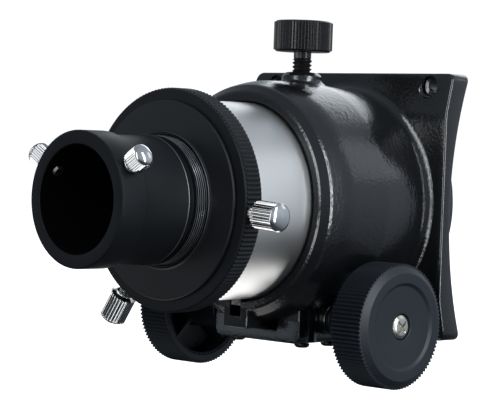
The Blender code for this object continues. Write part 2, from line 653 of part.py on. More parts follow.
def make_holder():
    """Collar, slim neck, relief groove and thread, bored for 1.25 in eyepieces."""
    front = HOLDER_FRONT
    collar_rear = front + COLLAR_LENGTH
    thread_rear = FLANGE_FRONT + HOLDER_THREAD_DEPTH
    section = [(thread_rear, EYEPIECE_BORE_R), (thread_rear, HOLDER_THREAD_R),
               (GROOVE_REAR, HOLDER_THREAD_R), (GROOVE_REAR, GROOVE_R), (NECK_REAR, GROOVE_R),
               (NECK_REAR, NECK_R + NECK_TAPER), (collar_rear + COLLAR_STEP, NECK_R),
               (collar_rear, COLLAR_R),
               (front, COLLAR_R), (front, EYEPIECE_BORE_R)]
    holder = turned("eyepiece_holder", section, ALONG_Y, "black_anodised", 40)
    for i, angle in enumerate(HOLDER_SCREW_ANGLES, start=1):
        cut(holder, cylinder(f"holder_tap_{i}", STUD_R + GAP, EYEPIECE_BORE_R - OVERCUT,
                             COLLAR_R + OVERCUT, radial_frame(angle, HOLDER_SCREW_Y), None, 20))
    return holder


def make_thumb_screw(name, angle, y, tip, seat, head_r, head_length):
    """A chrome thumb screw on a radius: a stud and a knurled head pressed on its outer end."""
    matrix = radial_frame(angle, y)
    stud_end = seat + STUD_IN_HEAD
    stud = [(stud_end, 0.0), (stud_end, STUD_R), (tip + 0.5, STUD_R), (tip, STUD_R - 0.5), (tip, 0.0)]
    knurl, top = seat + THUMB_KNURL_START, seat + head_length
    inner, bottom = STUD_R + RUNNING_FIT, stud_end + 0.2
    head = [(top, 0.0)]
    for angle_up in (72.0, 48.0, 24.0, 0.0):
        lift = math.radians(angle_up)
        head.append((top - THUMB_DOME * (1 - math.sin(lift)), head_r * math.cos(lift)))
    head += [(knurl, head_r), (seat, THUMB_SHOULDER_R), (seat, inner), (bottom, inner),
             (bottom, 0.0)]
    turned(name + "_stud", stud, matrix, "nickel_steel", 12)
    turned(name + "_head", head, matrix, "chrome", 20)


# --- pinion ---------------------------------------------------------------------------------------
def pinion_outline():
    """Straight-flanked teeth; the space between two of them faces up at rest."""
    tip_r, root_r = PINION_PITCH_R + ADDENDUM, PINION_PITCH_R - DEDENDUM
    outline = []
    for tooth in range(PINION_TEETH):
        centre = math.tau * (tooth + 0.5) / PINION_TEETH
        steps = ((root_r, -1, -DEDENDUM), (tip_r, -1, ADDENDUM), (tip_r, 1, ADDENDUM),
                 (root_r, 1, -DEDENDUM))
        for radius, side, depth in steps:
            half = min(tooth_half_width(depth) / radius, 0.48 * math.tau / PINION_TEETH)
            angle = centre + side * half
            outline.append((radius * math.sin(angle), radius * math.cos(angle)))
    return outline


def make_pinion_shaft():
    """Shaft with the pinion's teeth cut on its middle and a tapped hole in each end."""
    end, hole, neck = SHAFT_HALF_LENGTH, SHAFT_HALF_LENGTH - SHAFT_TAP_DEPTH, SHAFT_NECK_X
    half = [(hole, 0.0), (hole, SHAFT_TAP_R), (end, SHAFT_TAP_R), (end, SHAFT_R - SHAFT_CHAMFER),
            (end - SHAFT_CHAMFER, SHAFT_R), (neck, SHAFT_R), (neck, SHAFT_NECK_R)]
    profile = half + [(-along, radius) for along, radius in reversed(half)]
    matrix = placed(ALONG_X, SHAFT_SHIFT, SHAFT_Y, SHAFT_Z)
    shaft = turned("pinion_shaft", profile, matrix, "nickel_steel", 16)
    teeth = extruded("pinion_teeth", pinion_outline(), PINION_HALF_WIDTH, matrix)
    join(shaft, teeth)
    return shaft


def make_knob(side, facing):
    """Hollow moulded knob: rim, web, hub and ribs, with a screw recess in its face."""
    matrix = placed(facing, SHAFT_SHIFT, SHAFT_Y, SHAFT_Z)
    hub = KNOB_HUB_X - SHAFT_SHIFT if side == "right" else KNOB_HUB_X + SHAFT_SHIFT
    face, recess, chamfer = KNOB_OUTER_X, KNOB_OUTER_X - KNOB_RECESS_DEPTH, KNOB_RIM_CHAMFER
    profile = [(recess, 0.0), (recess, KNOB_RECESS_R), (face, KNOB_RECESS_R + KNOB_RECESS_DEPTH),
               (face, KNOB_FACE_R), (face - KNOB_BEVEL, KNOB_R), (KNOB_INNER_X + chamfer, KNOB_R),
               (KNOB_INNER_X, KNOB_R - chamfer), (KNOB_INNER_X, KNOB_RIM_INNER_R),
               (KNOB_WEB_X, KNOB_RIM_INNER_R), (KNOB_WEB_X, KNOB_HUB_R + 0.6),
               (hub, KNOB_HUB_R), (hub, 0.0)]
    knob = turned(f"focus_knob_{side}", profile, matrix, "knob_plastic", 36)
    rib_reach, rib_half = KNOB_RIM_INNER_R + 0.8, KNOB_RIB_HALF_THICKNESS
    for i in range(KNOB_RIB_COUNT // 2):
        rib = box(f"knob_rib_{side}_{i + 1}", (-rib_reach, -rib_half, KNOB_INNER_X + KNOB_RIB_INSET),
                  (rib_reach, rib_half, KNOB_WEB_X + 0.6))
        lift = Matrix.Translation(rib.matrix_world.translation)
        turn = Matrix.Rotation(math.radians(KNOB_RIB_ANGLE) + math.tau * i / KNOB_RIB_COUNT, 4, "Z")
        rib.matrix_world = matrix @ turn @ lift
        join(knob, rib)
    outer, seat, inner = face + OVERCUT, face - KNOB_SCREW_SEAT, hub - OVERCUT
    bore = [(outer, 0.0), (outer, KNOB_SCREW_R + GAP), (seat, KNOB_SCREW_R + GAP),
            (seat, SHAFT_R + RUNNING_FIT), (inner, SHAFT_R + RUNNING_FIT), (inner, 0.0)]
    cut(knob, turned(f"knob_bore_{side}", bore, matrix, None, 28))
    return knob


def make_knob_screw(side, facing):
    """Pan-head screw with a cross recess that holds the knob on the shaft."""
    matrix = placed(facing, SHAFT_SHIFT, SHAFT_Y, SHAFT_Z)
    seat = KNOB_OUTER_X - KNOB_SCREW_SEAT + GAP
    top, end = seat + KNOB_SCREW_HEIGHT, SHAFT_HALF_LENGTH - KNOB_SCREW_REACH
    profile = [(top, 0.0), (top, 2.2), (top - 0.3, 3.0), (top - 0.9, KNOB_SCREW_R),
               (seat, KNOB_SCREW_R), (seat, KNOB_SCREW_STUD_R), (end, KNOB_SCREW_STUD_R), (end, 0.0)]
    screw = turned(f"knob_screw_{side}", profile, matrix, "nickel_steel", 16)
    for i in range(2):
        blade = box(f"cross_{side}_{i + 1}", (-CROSS_HALF_LENGTH, -CROSS_HALF_WIDTH, top - CROSS_DEPTH),
                    (CROSS_HALF_LENGTH, CROSS_HALF_WIDTH, top + OVERCUT))
        lift = Matrix.Translation(blade.matrix_world.translation)
        blade.matrix_world = matrix @ Matrix.Rotation(math.radians(45 + 90 * i), 4, "Z") @ lift
        cut(screw, blade)
    return screw


def make_thrust_washer(side, facing):
    low, high, inner = WASHER_INNER_X, WASHER_OUTER_X, SHAFT_R + GAP
    section = [(high, inner), (high, WASHER_R), (low, WASHER_R), (low, inner)]
    return turned(f"thrust_washer_{side}", section, placed(facing, 0.0, SHAFT_Y, SHAFT_Z),
                  "black_nylon", 20)


# --- lock screw -------------------------------------------------------------------------------------
def make_lock_screw():
    chamfer = LOCK_HEAD_CHAMFER
    profile = [(LOCK_TOP_Z, 0.0), (LOCK_TOP_Z, LOCK_HEAD_R - chamfer),
               (LOCK_TOP_Z - chamfer, LOCK_HEAD_R), (LOCK_HEAD_Z + chamfer, LOCK_HEAD_R),
               (LOCK_HEAD_Z, LOCK_HEAD_R - chamfer),
               (LOCK_HEAD_Z, LOCK_NECK_R), (LOCK_NECK_Z, LOCK_NECK_R),
               (LOCK_NECK_Z, LOCK_THREAD_R), (LOCK_TIP_Z, LOCK_THREAD_R), (LOCK_TIP_Z, 0.0)]
    return turned("lock_screw", profile, placed(UPRIGHT, 0.0, LOCK_Y, 0.0), "black_steel", 28)


def make_lock_pad():
    return cylinder("lock_pad", LOCK_PAD_R, TUBE_R + GAP, LOCK_TIP_Z - GAP,
                    placed(UPRIGHT, 0.0, LOCK_Y, 0.0), "black_nylon", 16)


clear_scene()
PARTS = make_collection("rack_and_pinion_focuser")
CUTTERS = make_collection("cutters")
MATERIALS = make_materials()

fixed = [make_housing(), make_bracket()] + make_guide_rings() + make_bracket_screws() + make_bushes()
group("housing_origin", 0.0, 0.0, 0.0, fixed)

sliding = [make_drawtube(), make_rack(), make_eyepiece_ring()] + make_rack_screws()
group("drawtube_axis", 0.0, BODY_FRONT, 0.0, sliding)
group("adapter_axis", 0.0, RING_FRONT, 0.0, [make_adapter(), make_holder()])

turning = [make_pinion_shaft()]
for knob_side, knob_facing in (("left", ALONG_MINUS_X), ("right", ALONG_X)):
    turning.append(make_knob(knob_side, knob_facing))
    turning.append(make_knob_screw(knob_side, knob_facing))
    turning.append(make_thrust_washer(knob_side, knob_facing))
group("pinion_axis", 0.0, SHAFT_Y, SHAFT_Z, turning)

for number, screw_angle in enumerate(HOLDER_SCREW_ANGLES, start=1):
    make_thumb_screw(f"holder_screw_{number}", screw_angle, HOLDER_SCREW_Y, HOLDER_SCREW_TIP,
                     HOLDER_SCREW_SEAT, HOLDER_SCREW_HEAD_R, HOLDER_SCREW_HEAD_LENGTH)
for number, screw_angle in enumerate(RING_SCREW_ANGLES, start=1):
    make_thumb_screw(f"ring_screw_{number}", screw_angle, RING_SCREW_Y, RING_SCREW_TIP,
                     RING_SCREW_SEAT, RING_SCREW_HEAD_R, RING_SCREW_HEAD_LENGTH)
group("lock_axis", 0.0, LOCK_Y, BOSS_TOP_Z, [make_lock_screw(), make_lock_pad()])
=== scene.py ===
"""The looks of a rack-and-pinion telescope focuser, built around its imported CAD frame.

+Y runs into the telescope, +X is the side of the right-hand knob and +Z is up. Dimensions are in
millimetres, and MM turns them into Blender's metres.
"""

import json
import math

import bmesh
import bpy
from mathutils import Matrix, Vector

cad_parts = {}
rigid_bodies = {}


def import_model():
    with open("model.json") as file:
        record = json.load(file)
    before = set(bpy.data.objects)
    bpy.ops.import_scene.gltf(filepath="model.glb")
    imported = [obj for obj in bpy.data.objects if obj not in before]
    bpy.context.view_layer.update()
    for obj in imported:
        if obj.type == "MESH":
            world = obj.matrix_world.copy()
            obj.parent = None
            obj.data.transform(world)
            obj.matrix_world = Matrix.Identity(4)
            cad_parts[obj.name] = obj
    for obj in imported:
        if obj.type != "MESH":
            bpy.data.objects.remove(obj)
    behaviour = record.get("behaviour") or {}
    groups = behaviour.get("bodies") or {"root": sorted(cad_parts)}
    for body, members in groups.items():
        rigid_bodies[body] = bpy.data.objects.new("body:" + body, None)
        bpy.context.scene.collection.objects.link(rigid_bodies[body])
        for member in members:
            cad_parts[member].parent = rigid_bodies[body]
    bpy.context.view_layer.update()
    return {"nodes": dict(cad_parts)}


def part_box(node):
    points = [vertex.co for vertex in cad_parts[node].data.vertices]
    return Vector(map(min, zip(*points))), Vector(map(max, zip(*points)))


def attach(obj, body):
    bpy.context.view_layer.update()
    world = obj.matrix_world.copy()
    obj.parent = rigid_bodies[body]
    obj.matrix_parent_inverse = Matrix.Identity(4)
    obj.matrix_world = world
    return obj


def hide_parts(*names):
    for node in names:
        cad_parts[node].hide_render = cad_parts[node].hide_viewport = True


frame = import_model()

MM = 0.001
SHARP_ANGLE = math.radians(38.0)
NOISE_RANGE = (0.3, 0.7)

# --- places and sizes read from the CAD frame, in millimetres ----


def span(node):
    low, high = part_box(node)
    return Vector(low) / MM, Vector(high) / MM


HOLDER, RING, TUBE, ADAPTER = (span(n) for n in (
    "eyepiece_holder", "eyepiece_ring", "drawtube", "eyepiece_adapter"))
HOUSING, BRACKET, KNOB, SHAFT = (span(n) for n in (
    "focuser_housing", "pinion_bracket", "focus_knob_right", "pinion_shaft"))
LOCK = span("lock_screw")

HOLDER_FRONT, COLLAR_R = HOLDER[0].y, HOLDER[1].z
RING_FRONT, RING_R = RING[0].y, RING[1].z
RING_REAR = RING_FRONT + 6.8
TUBE_FRONT, TUBE_REAR, TUBE_R = TUBE[0].y, TUBE[1].y, TUBE[1].z
FLANGE_R = ADAPTER[1].z - 0.5
FLANGE_FRONT = RING_FRONT - 1.4
BODY_FRONT, SPIGOT_REAR = HOUSING[0].y, HOUSING[1].y
PLATE_HALF_X, PLATE_HALF_Z = HOUSING[1].x, HOUSING[1].z
SHAFT_Y = (SHAFT[0].y + SHAFT[1].y) / 2
SHAFT_Z = (SHAFT[0].z + SHAFT[1].z) / 2
SHAFT_X = (SHAFT[0].x + SHAFT[1].x) / 2
SHAFT_HALF_LENGTH = SHAFT[1].x - SHAFT_X
KNOB_OUTER_X, KNOB_HUB_X = KNOB[1].x - SHAFT_X, KNOB[0].x
KNOB_R = KNOB[1].z - SHAFT_Z
LOCK_Y = (LOCK[0].y + LOCK[1].y) / 2
LOCK_TIP_Z, LOCK_TOP_Z, LOCK_HEAD_R = LOCK[0].z, LOCK[1].z, LOCK[1].x

# --- sizes of details ----------------------------
EYEPIECE_BORE_R = 15.9
NECK_R = 18.9
NECK_REAR = HOLDER_FRONT + 27.0
GROOVE_R = 18.2
GROOVE_REAR = NECK_REAR + 2.9
THREAD_R = 19.3
FINE_PITCH = 0.8
BARREL_R = 25.35
BARREL_BORE_R = 22.6
TWO_INCH_BORE_R = 25.65
TUBE_BORE_R = 28.3
BODY_BORE_R = 31.2
BELLY_R = 37.8
FACE_R = 33.3
WAIST_R = 36.8
SPIGOT_R = 36.6
PLATE_FRONT = -3.8
PLATE_FLAT_HALF_Z = 29.0
PLATE_EDGE_FRONT = -0.7
SADDLE_R = 120.0
PLATE_HOLE = (33.4, 38.0)
BRACKET_HALF_X = 18.2
BRACKET_CHEEK_X = 8.8
BRACKET_SCREW_X = 13.9
BRACKET_SCREW_OFF_Y = 6.1
SCREW_PLACES = [(sx * BRACKET_SCREW_X, SHAFT_Y + sy * BRACKET_SCREW_OFF_Y)
                for sy in (-1, 1) for sx in (-1, 1)]
SCREW_HOLE_R = 1.75
POST_X, POST_R = 15.5, 3.4
POST_PLACES = [(sx * POST_X, SHAFT_Y + sy * BRACKET_SCREW_OFF_Y)
               for sx in (-1, 1) for sy in (-1, 1)]
CUT_LOW_Z = -46.0
SHAFT_BOSS_R = 4.9
SHAFT_BOSS_X = (17.2, 22.0)
BUSH_FLANGE_R = 4.7
BUSH_X = (10.0, 22.3, 23.5)
WASHER_X = (23.7, 24.7)
WASHER_R = 4.8
BOSS_R = 6.3
BOSS_TOP_Z = 41.0
SLOT_HALF_X = 2.3
SLOT_BOTTOM_Z = -35.8
RACK_TOP_Z = -29.8
SPLIT_Z = -36.45
SPLIT_WIDTH = 0.1
STUD_R = 1.9
KNOB_SCREW_R = 3.75
SHAFT_R = 2.5
BUSH_R = 3.6
SHAFT_CUT_R, SHAFT_CUT_X = BUSH_R + 0.3, 23.0
PRESS_FIT = 0.08
ADAPTER_LIP_R = 20.45
# depth below a crest over which the painted crest highlight fades to black
CREST_HIGHLIGHT_DEPTH = 0.14
SCREW_ANGLES = {"holder": (31.0, 151.0), "ring": (-4.0, -124.0)}
HOLDER_SCREW_Y = HOLDER_FRONT + 5.0
RING_SCREW_Y = RING_FRONT + 2.95
RING_RIBS = 150
KNOB_RIBS = 94
LOCK_RIBS = 54
THUMB_RIBS = 26

ALONG_Y = Matrix(((1, 0, 0), (0, 0, 1), (0, -1, 0))).to_4x4()
ALONG_X = Matrix(((0, 0, 1), (1, 0, 0), (0, 1, 0))).to_4x4()
ALONG_MINUS_X = Matrix(((0, 0, -1), (-1, 0, 0), (0, 1, 0))).to_4x4()
FACING_FRONT = Matrix(((1, 0, 0), (0, 0, -1), (0, 1, 0))).to_4x4()
UPRIGHT = Matrix.Identity(4)
SIDES = (("left", ALONG_MINUS_X), ("right", ALONG_X))


# --- mesh tools ----------------------------------
def placed(rotation, x, y, z):
    return Matrix.Translation(Vector((x, y, z)) * MM) @ rotation


def new_piece(name, shape, matrix):
    """A linked object from a bmesh in millimetres, shaded smooth up to its sharp edges."""
    bmesh.ops.recalc_face_normals(shape, faces=shape.faces)
    bmesh.ops.scale(shape, vec=(MM, MM, MM), verts=shape.verts)
    mesh = bpy.data.meshes.new(name)
    shape.to_mesh(mesh)
    shape.free()
    mesh.shade_smooth()
    mesh.set_sharp_from_angle(angle=SHARP_ANGLE)
    piece = bpy.data.objects.new(name, mesh)
    piece.matrix_world = matrix
    bpy.context.scene.collection.objects.link(piece)
    return piece


def soften(corners, closed=False, steps=4):
    """Round an outline's corners, each given as (x, y) or (x, y, radius)."""
    points = []
    for i, corner in enumerate(corners):
        here = Vector(corner[:2])
        radius = corner[2] if len(corner) > 2 else 0.0
        at_end = not closed and i in (0, len(corners) - 1)
        if radius == 0.0 or at_end:
            points.append((here.x, here.y))
            continue
        before = Vector(corners[i - 1][:2]) - here
        after = Vector(corners[(i + 1) % len(corners)][:2]) - here
        half = before.angle(after) / 2
        reach = min(radius / math.tan(half), 0.49 * before.length, 0.49 * after.length)
        middle = (before.normalized() + after.normalized()).normalized()
        centre = here + middle * reach / math.cos(half)
        start = here + before.normalized() * reach - centre
        end = here + after.normalized() * reach - centre
        turn = math.atan2(start.x * end.y - start.y * end.x, start.dot(end))
        for step in range(steps + 1):
            angle = turn * step / steps
            c, s = math.cos(angle), math.sin(angle)
            points.append((centre.x + start.x * c - start.y * s,
                           centre.y + start.x * s + start.y * c))
    return points


def rows(start, end, radius, step):
    """Profile points along a cylinder, close enough together to carry a thread."""
    count = max(1, math.ceil(abs(end - start) / step))
    return [(start + (end - start) * i / count, radius) for i in range(count + 1)]


def lathe(name, profile, matrix, segments=128, relief=None):
    """Turn (along, radius) points about local Z. relief(angle, along, radius) moves a point."""
    shape = bmesh.new()
    rings = []
    for along, radius in profile:
        if radius < 1e-6:
            rings.append([shape.verts.new((0.0, 0.0, along))])
            continue
        ring = []
        for i in range(segments):
            angle = math.tau * i / segments
            a, r = relief(angle, along, radius) if relief else (along, radius)
            ring.append(shape.verts.new((r * math.cos(angle), r * math.sin(angle), a)))
        rings.append(ring)
    pairs = list(zip(rings, rings[1:]))
    if profile[0][1] > 1e-6:
        pairs.append((rings[-1], rings[0]))
    for one, two in pairs:
        for i in range(segments):
            j = (i + 1) % segments
            corners = [one[i % len(one)], one[j % len(one)], two[j % len(two)], two[i % len(two)]]
            corners = list(dict.fromkeys(corners))
            if len(corners) > 2:
                shape.faces.new(corners)
    return new_piece(name, shape, matrix)


def prism(name, outline, low, high, matrix=UPRIGHT, bevel=0.0, segments=3):
    """An outline in local XY between two heights on local Z, with rounded edges."""
    shape = bmesh.new()
    bottom = [shape.verts.new((x, y, low)) for x, y in outline]
    top = [shape.verts.new((x, y, high)) for x, y in outline]
    shape.faces.new(bottom)
    shape.faces.new(top)
    for i in range(len(outline)):
        j = (i + 1) % len(outline)
        shape.faces.new((bottom[i], bottom[j], top[j], top[i]))
    piece = new_piece(name, shape, matrix)
    if bevel:
        modifier = piece.modifiers.new("bevel", "BEVEL")
        modifier.width = bevel * MM
        modifier.segments = segments
        modifier.limit_method = "ANGLE"
        modifier.angle_limit = SHARP_ANGLE
        settle(piece)
    return piece


def rectangle(low, high):
    return [(high[0], high[1]), (low[0], high[1]), (low[0], low[1]), (high[0], low[1])]


def block(name, low, high, bevel=0.0):
    return prism(name, rectangle(low, high), low[2], high[2], UPRIGHT, bevel)


def rod(name, radius, low, high, matrix, segments=48):
    return lathe(name, [(low, 0.0), (low, radius), (high, radius), (high, 0.0)], matrix, segments)


def uprights(name, radius, low, high, places, segments):
    """Upright rods at (x, y) places."""
    return [rod(name, radius, low, high, placed(UPRIGHT, x, y, 0.0), segments) for x, y in places]


def settle(piece):
    """Apply a piece's modifiers and shade the result again."""
    evaluated = piece.evaluated_get(bpy.context.evaluated_depsgraph_get())
    mesh = bpy.data.meshes.new_from_object(evaluated)
    piece.modifiers.clear()
    piece.data = mesh
    mesh.shade_smooth()
    mesh.set_sharp_from_angle(angle=SHARP_ANGLE)


def combine(piece, operation, others):
    """Boolean the others into a piece one by one, and remove them."""
    for other in others:
        modifier = piece.modifiers.new("combine", "BOOLEAN")
        modifier.operation = operation
        modifier.solver = "EXACT"
        modifier.object = other
        settle(piece)
        bpy.data.objects.remove(other, do_unlink=True)
    return piece


def carve(piece, *cutters):
    return combine(piece, "DIFFERENCE", cutters)


def fuse(piece, *others):
    return combine(piece, "UNION", others)


# --- surface relief ------------------------------
def knurl(count, depth, start, end, power=1.0):
    """Straight ribs between two places along the axis; the outer radius stays where it was."""
    def relief(angle, along, radius):
        if not start - 1e-6 <= along <= end + 1e-6:
            return along, radius
        wave = 0.5 - 0.5 * math.cos(count * angle)
        return along, radius - depth * (1.0 - wave ** power)
    return relief


def thread(pitch, depth, start, end, crest_r):
    """A helical V groove, which fades out over half a turn at both ends."""
    def relief(angle, along, radius):
        if abs(radius - crest_r) > 1e-6 or not start < along < end:
            return along, radius
        phase = (along / pitch - angle / math.tau) % 1.0
        fade = min(1.0, (along - start) / (pitch / 2), (end - along) / (pitch / 2))
        return along, radius - depth * fade * (1.0 - abs(2.0 * phase - 1.0))
    return relief


# --- materials -----------------------------------
def start_material(name, metallic=0.0, specular=0.5, coat=0.0, coat_roughness=0.1):
    material = bpy.data.materials.new(name)
    material.use_nodes = True
    shader = material.node_tree.nodes["Principled BSDF"]
    shader.inputs["Metallic"].default_value = metallic
    shader.inputs["Specular IOR Level"].default_value = specular
    shader.inputs["Coat Weight"].default_value = coat
    shader.inputs["Coat Roughness"].default_value = coat_roughness
    return material, material.node_tree, shader


def add_node(tree, kind, **values):
    """A shader node. A value is a constant or an output to link; _ in a name stands for a space."""
    node = tree.nodes.new("ShaderNode" + kind)
    for name, value in values.items():
        socket = node.inputs[name.replace("_", " ")]
        if isinstance(value, bpy.types.NodeSocket):
            tree.links.new(value, socket)
        else:
            socket.default_value = value
    return node


def object_coordinates(tree):
    return add_node(tree, "TexCoord").outputs["Object"]


def turned_coordinates(tree):
    """(distance from the axis, distance along it), so that a noise runs round the axis."""
    parts = add_node(tree, "SeparateXYZ", Vector=object_coordinates(tree)).outputs
    flat = add_node(tree, "CombineXYZ", X=parts["X"], Y=parts["Y"])
    radius = add_node(tree, "VectorMath", Vector=flat.outputs[0])
    radius.operation = "LENGTH"
    return add_node(tree, "CombineXYZ", X=radius.outputs["Value"], Z=parts["Z"]).outputs[0]


def noise(tree, vector, scale, detail, roughness=0.5):
    return add_node(tree, "TexNoise", Vector=vector, Scale=scale, Detail=detail,
                    Roughness=roughness).outputs["Fac"]


def spread(tree, value, **limits):
    """A value mapped from one range onto another."""
    return add_node(tree, "MapRange", Value=value, **limits).outputs["Result"]


def colour_between(tree, shader, factor, dark, light):
    ramp = add_node(tree, "ValToRGB", Fac=factor)
    for element, position, colour in zip(ramp.color_ramp.elements, NOISE_RANGE, (dark, light)):
        element.position = position
        element.color = (*colour, 1.0)
    tree.links.new(ramp.outputs["Color"], shader.inputs["Base Color"])


def roughness_between(tree, shader, factor, low, high):
    start, end = NOISE_RANGE
    rough = spread(tree, factor, From_Min=start, From_Max=end, To_Min=low, To_Max=high)
    tree.links.new(rough, shader.inputs["Roughness"])


def paint_crest_highlight(tree, shader, radius, depth, dark, light):
    """Painted highlight: colour by the distance from the axis, so that only a thread's crests are
    painted bright.
    """
    parts = add_node(tree, "SeparateXYZ", Vector=turned_coordinates(tree))
    crest = spread(tree, parts.outputs["X"], From_Min=(radius - depth) * MM,
                   From_Max=(radius - depth / 3) * MM)
    colour_between(tree, shader, crest, dark, light)


def bumps(tree, shader, heights):
    """Chain bump nodes of (height output, strength, distance in millimetres), for the coat too."""
    normal = None
    for height, strength, distance in heights:
        bump = add_node(tree, "Bump", Height=height, Strength=strength, Distance=distance * MM)
        if normal is not None:
            tree.links.new(normal, bump.inputs["Normal"])
        normal = bump.outputs["Normal"]
    for socket in ("Normal", "Coat Normal"):
        tree.links.new(normal, shader.inputs[socket])


def surface(name, noises, colour, rough, relief, crests=None, **shading):
    """A material whose colour, roughness and bumps follow noises.

    noises names each one's (coordinates, scale, detail, roughness). colour is (noise, dark, light),
    rough is (noise, low, high) and relief lists (noise, strength, distance in millimetres). With
    crests, as (radius, depth), the colour follows the distance from the axis instead, which paints
    a highlight onto the crests.
    """
    material, tree, shader = start_material(name, **shading)
    fields = {key: noise(tree, place(tree), *values) for key, (place, *values) in noises.items()}
    if crests:
        paint_crest_highlight(tree, shader, *crests, *colour[1:])
    else:
        colour_between(tree, shader, fields[colour[0]], *colour[1:])
    roughness_between(tree, shader, fields[rough[0]], *rough[1:])
    bumps(tree, shader, [(fields[key], *amounts) for key, *amounts in relief])
    return material


FIXED, TURNED = object_coordinates, turned_coordinates


def anodised(name, dark, light, low, high, specular=0.55):
    """Satin anodised aluminium with the fine rings that turning leaves."""
    return surface(name, {"rings": (TURNED, 5000.0, 2.0, 0.6), "grain": (FIXED, 4500.0, 2.0),
                          "broad": (FIXED, 45.0, 3.0)},
                   ("broad", dark, light), ("rings", low, high),
                   [("rings", 0.10, 0.01), ("grain", 0.18, 0.012)], specular=specular)


def crest_highlight_finish(name, radius, light):
    """A black edge or thread whose crests, at a radius, get a lighter metallic colour as a painted
    highlight line.
    """
    return surface(name, {"marks": (TURNED, 3000.0, 2.0)},
                   ("marks", (0.005, 0.005, 0.006), light), ("marks", 0.24, 0.34),
                   [("marks", 0.05, 0.01)], crests=(radius, CREST_HIGHLIGHT_DEPTH), metallic=0.8)


ANODISED_DARK, ANODISED_LIGHT = (0.009, 0.0105, 0.0125), (0.0125, 0.014, 0.0165)
# colour of the painted highlight on the rims' crests
RIM_HIGHLIGHT = (0.20, 0.205, 0.21)

# finish: (Blender material, slot in the record)
FINISHES = {
    # thick gloss paint over a casting, with a fine orange peel
    "paint": (surface("gloss_black_paint",
                      {"peel": (FIXED, 1000.0, 1.5), "broad": (FIXED, 60.0, 2.0)},
                      ("broad", (0.0035, 0.004, 0.005), (0.005, 0.0055, 0.0065)),
                      ("broad", 0.18, 0.24), [("broad", 0.12, 0.2), ("peel", 1.0, 0.09)],
                      specular=0.5, coat=0.5, coat_roughness=0.06), "cast_black_paint"),
    # bead-blasted and clear anodised tube
    "aluminium": (surface("satin_aluminium_tube",
                          {"grain": (FIXED, 6000.0, 2.0), "rings": (TURNED, 2200.0, 3.0, 0.6),
                           "broad": (FIXED, 35.0, 3.0)},
                          ("broad", (0.80, 0.79, 0.775), (0.84, 0.83, 0.815)),
                          ("rings", 0.36, 0.42), [("rings", 0.04, 0.01), ("grain", 0.10, 0.01)],
                          metallic=1.0), "satin_aluminium"),
    "chrome": (surface("polished_chrome",
                       {"rings": (TURNED, 4000.0, 2.0), "broad": (FIXED, 400.0, 2.0)},
                       ("broad", (0.74, 0.745, 0.75), (0.84, 0.845, 0.85)), ("broad", 0.07, 0.14),
                       [("rings", 0.05, 0.01)], metallic=1.0), "chrome"),
    "nickel": (surface("nickel_plate",
                       {"rings": (TURNED, 5000.0, 2.0), "broad": (FIXED, 500.0, 3.0)},
                       ("broad", (0.68, 0.66, 0.59), (0.78, 0.76, 0.69)), ("broad", 0.22, 0.34),
                       [("rings", 0.12, 0.01)], metallic=1.0), "nickel_steel"),
    # blue-black moulded plastic with a fine spark-eroded texture
    "plastic": (surface("knob_plastic_moulded",
                        {"grain": (FIXED, 3800.0, 3.0, 0.6), "broad": (FIXED, 70.0, 3.0)},
                        ("broad", (0.0065, 0.0092, 0.0135), (0.0085, 0.0115, 0.0165)),
                        ("grain", 0.42, 0.52), [("grain", 0.22, 0.02)], specular=0.45),
                "knob_plastic"),
    "nylon": (surface("black_nylon_plain",
                      {"grain": (FIXED, 3000.0, 2.0), "broad": (FIXED, 120.0, 3.0)},
                      ("broad", (0.006, 0.006, 0.0065), (0.010, 0.010, 0.011)),
                      ("broad", 0.28, 0.38), [("grain", 0.12, 0.02)]), "black_nylon"),
    "anodised": (anodised("black_anodised", ANODISED_DARK, ANODISED_LIGHT, 0.34, 0.44),
                 "black_anodised"),
    "ring": (anodised("ribbed_anodised", ANODISED_DARK, ANODISED_LIGHT, 0.42, 0.52, 0.35),
             "black_anodised"),
    "holder": (anodised("fine_anodised", (0.008, 0.0095, 0.0115), (0.011, 0.0125, 0.015),
                        0.38, 0.48, 0.25), "black_anodised"),
    "oxide": (anodised("black_oxide", (0.008, 0.008, 0.009), (0.013, 0.013, 0.014), 0.20, 0.30),
              "black_steel"),
    # painted highlights: lighter crests on the holder thread and the rims stand in for bright
    # reflected lines
    "thread": (crest_highlight_finish("worn_holder_thread", THREAD_R, (0.42, 0.43, 0.45)), "black_anodised"),
    "rim": (crest_highlight_finish("worn_adapter_rim", ADAPTER_LIP_R, RIM_HIGHLIGHT), "black_anodised"),
    "neck_rim": (crest_highlight_finish("worn_neck_rim", NECK_R + 0.5, RIM_HIGHLIGHT), "black_anodised"),
}

# painted shade inside bores and recesses: a near-black matt colour, darker and duller than the
# parts' own finish; inside the drawtube it also stands for a black coating
INWARD_PAINTED_SHADE = surface("matt_black_bore", {"grain": (FIXED, 2500.0, 2.0)},
                     ("grain", (0.0012, 0.0012, 0.0018), (0.0022, 0.0022, 0.003)),
                     ("grain", 0.75, 0.9), [("grain", 0.2, 0.02)], specular=0.08)
# blackened steel, rubbed lighter in random patches
WORN_STEEL = surface("worn_steel_rack",
                     {"marks": (FIXED, 900.0, 3.0), "grain": (FIXED, 4000.0, 2.0)},
                     ("marks", (0.10, 0.10, 0.10), (0.52, 0.51, 0.49)), ("grain", 0.25, 0.4),
                     [("grain", 0.2, 0.02)], metallic=1.0)


def paint_inward_shade(piece, low_r, high_r):
    """Paint shade on a turned piece: matt near-black faces where they look in at the axis, between
    two radii.
    """
    piece.data.materials.append(INWARD_PAINTED_SHADE)
    for face in piece.data.polygons:
        outward = Vector((face.center.x, face.center.y))
        inward = face.normal.x * outward.x + face.normal.y * outward.y < -0.5 * outward.length
        if inward and low_r * MM <= outward.length <= high_r * MM:
            face.material_index = 1


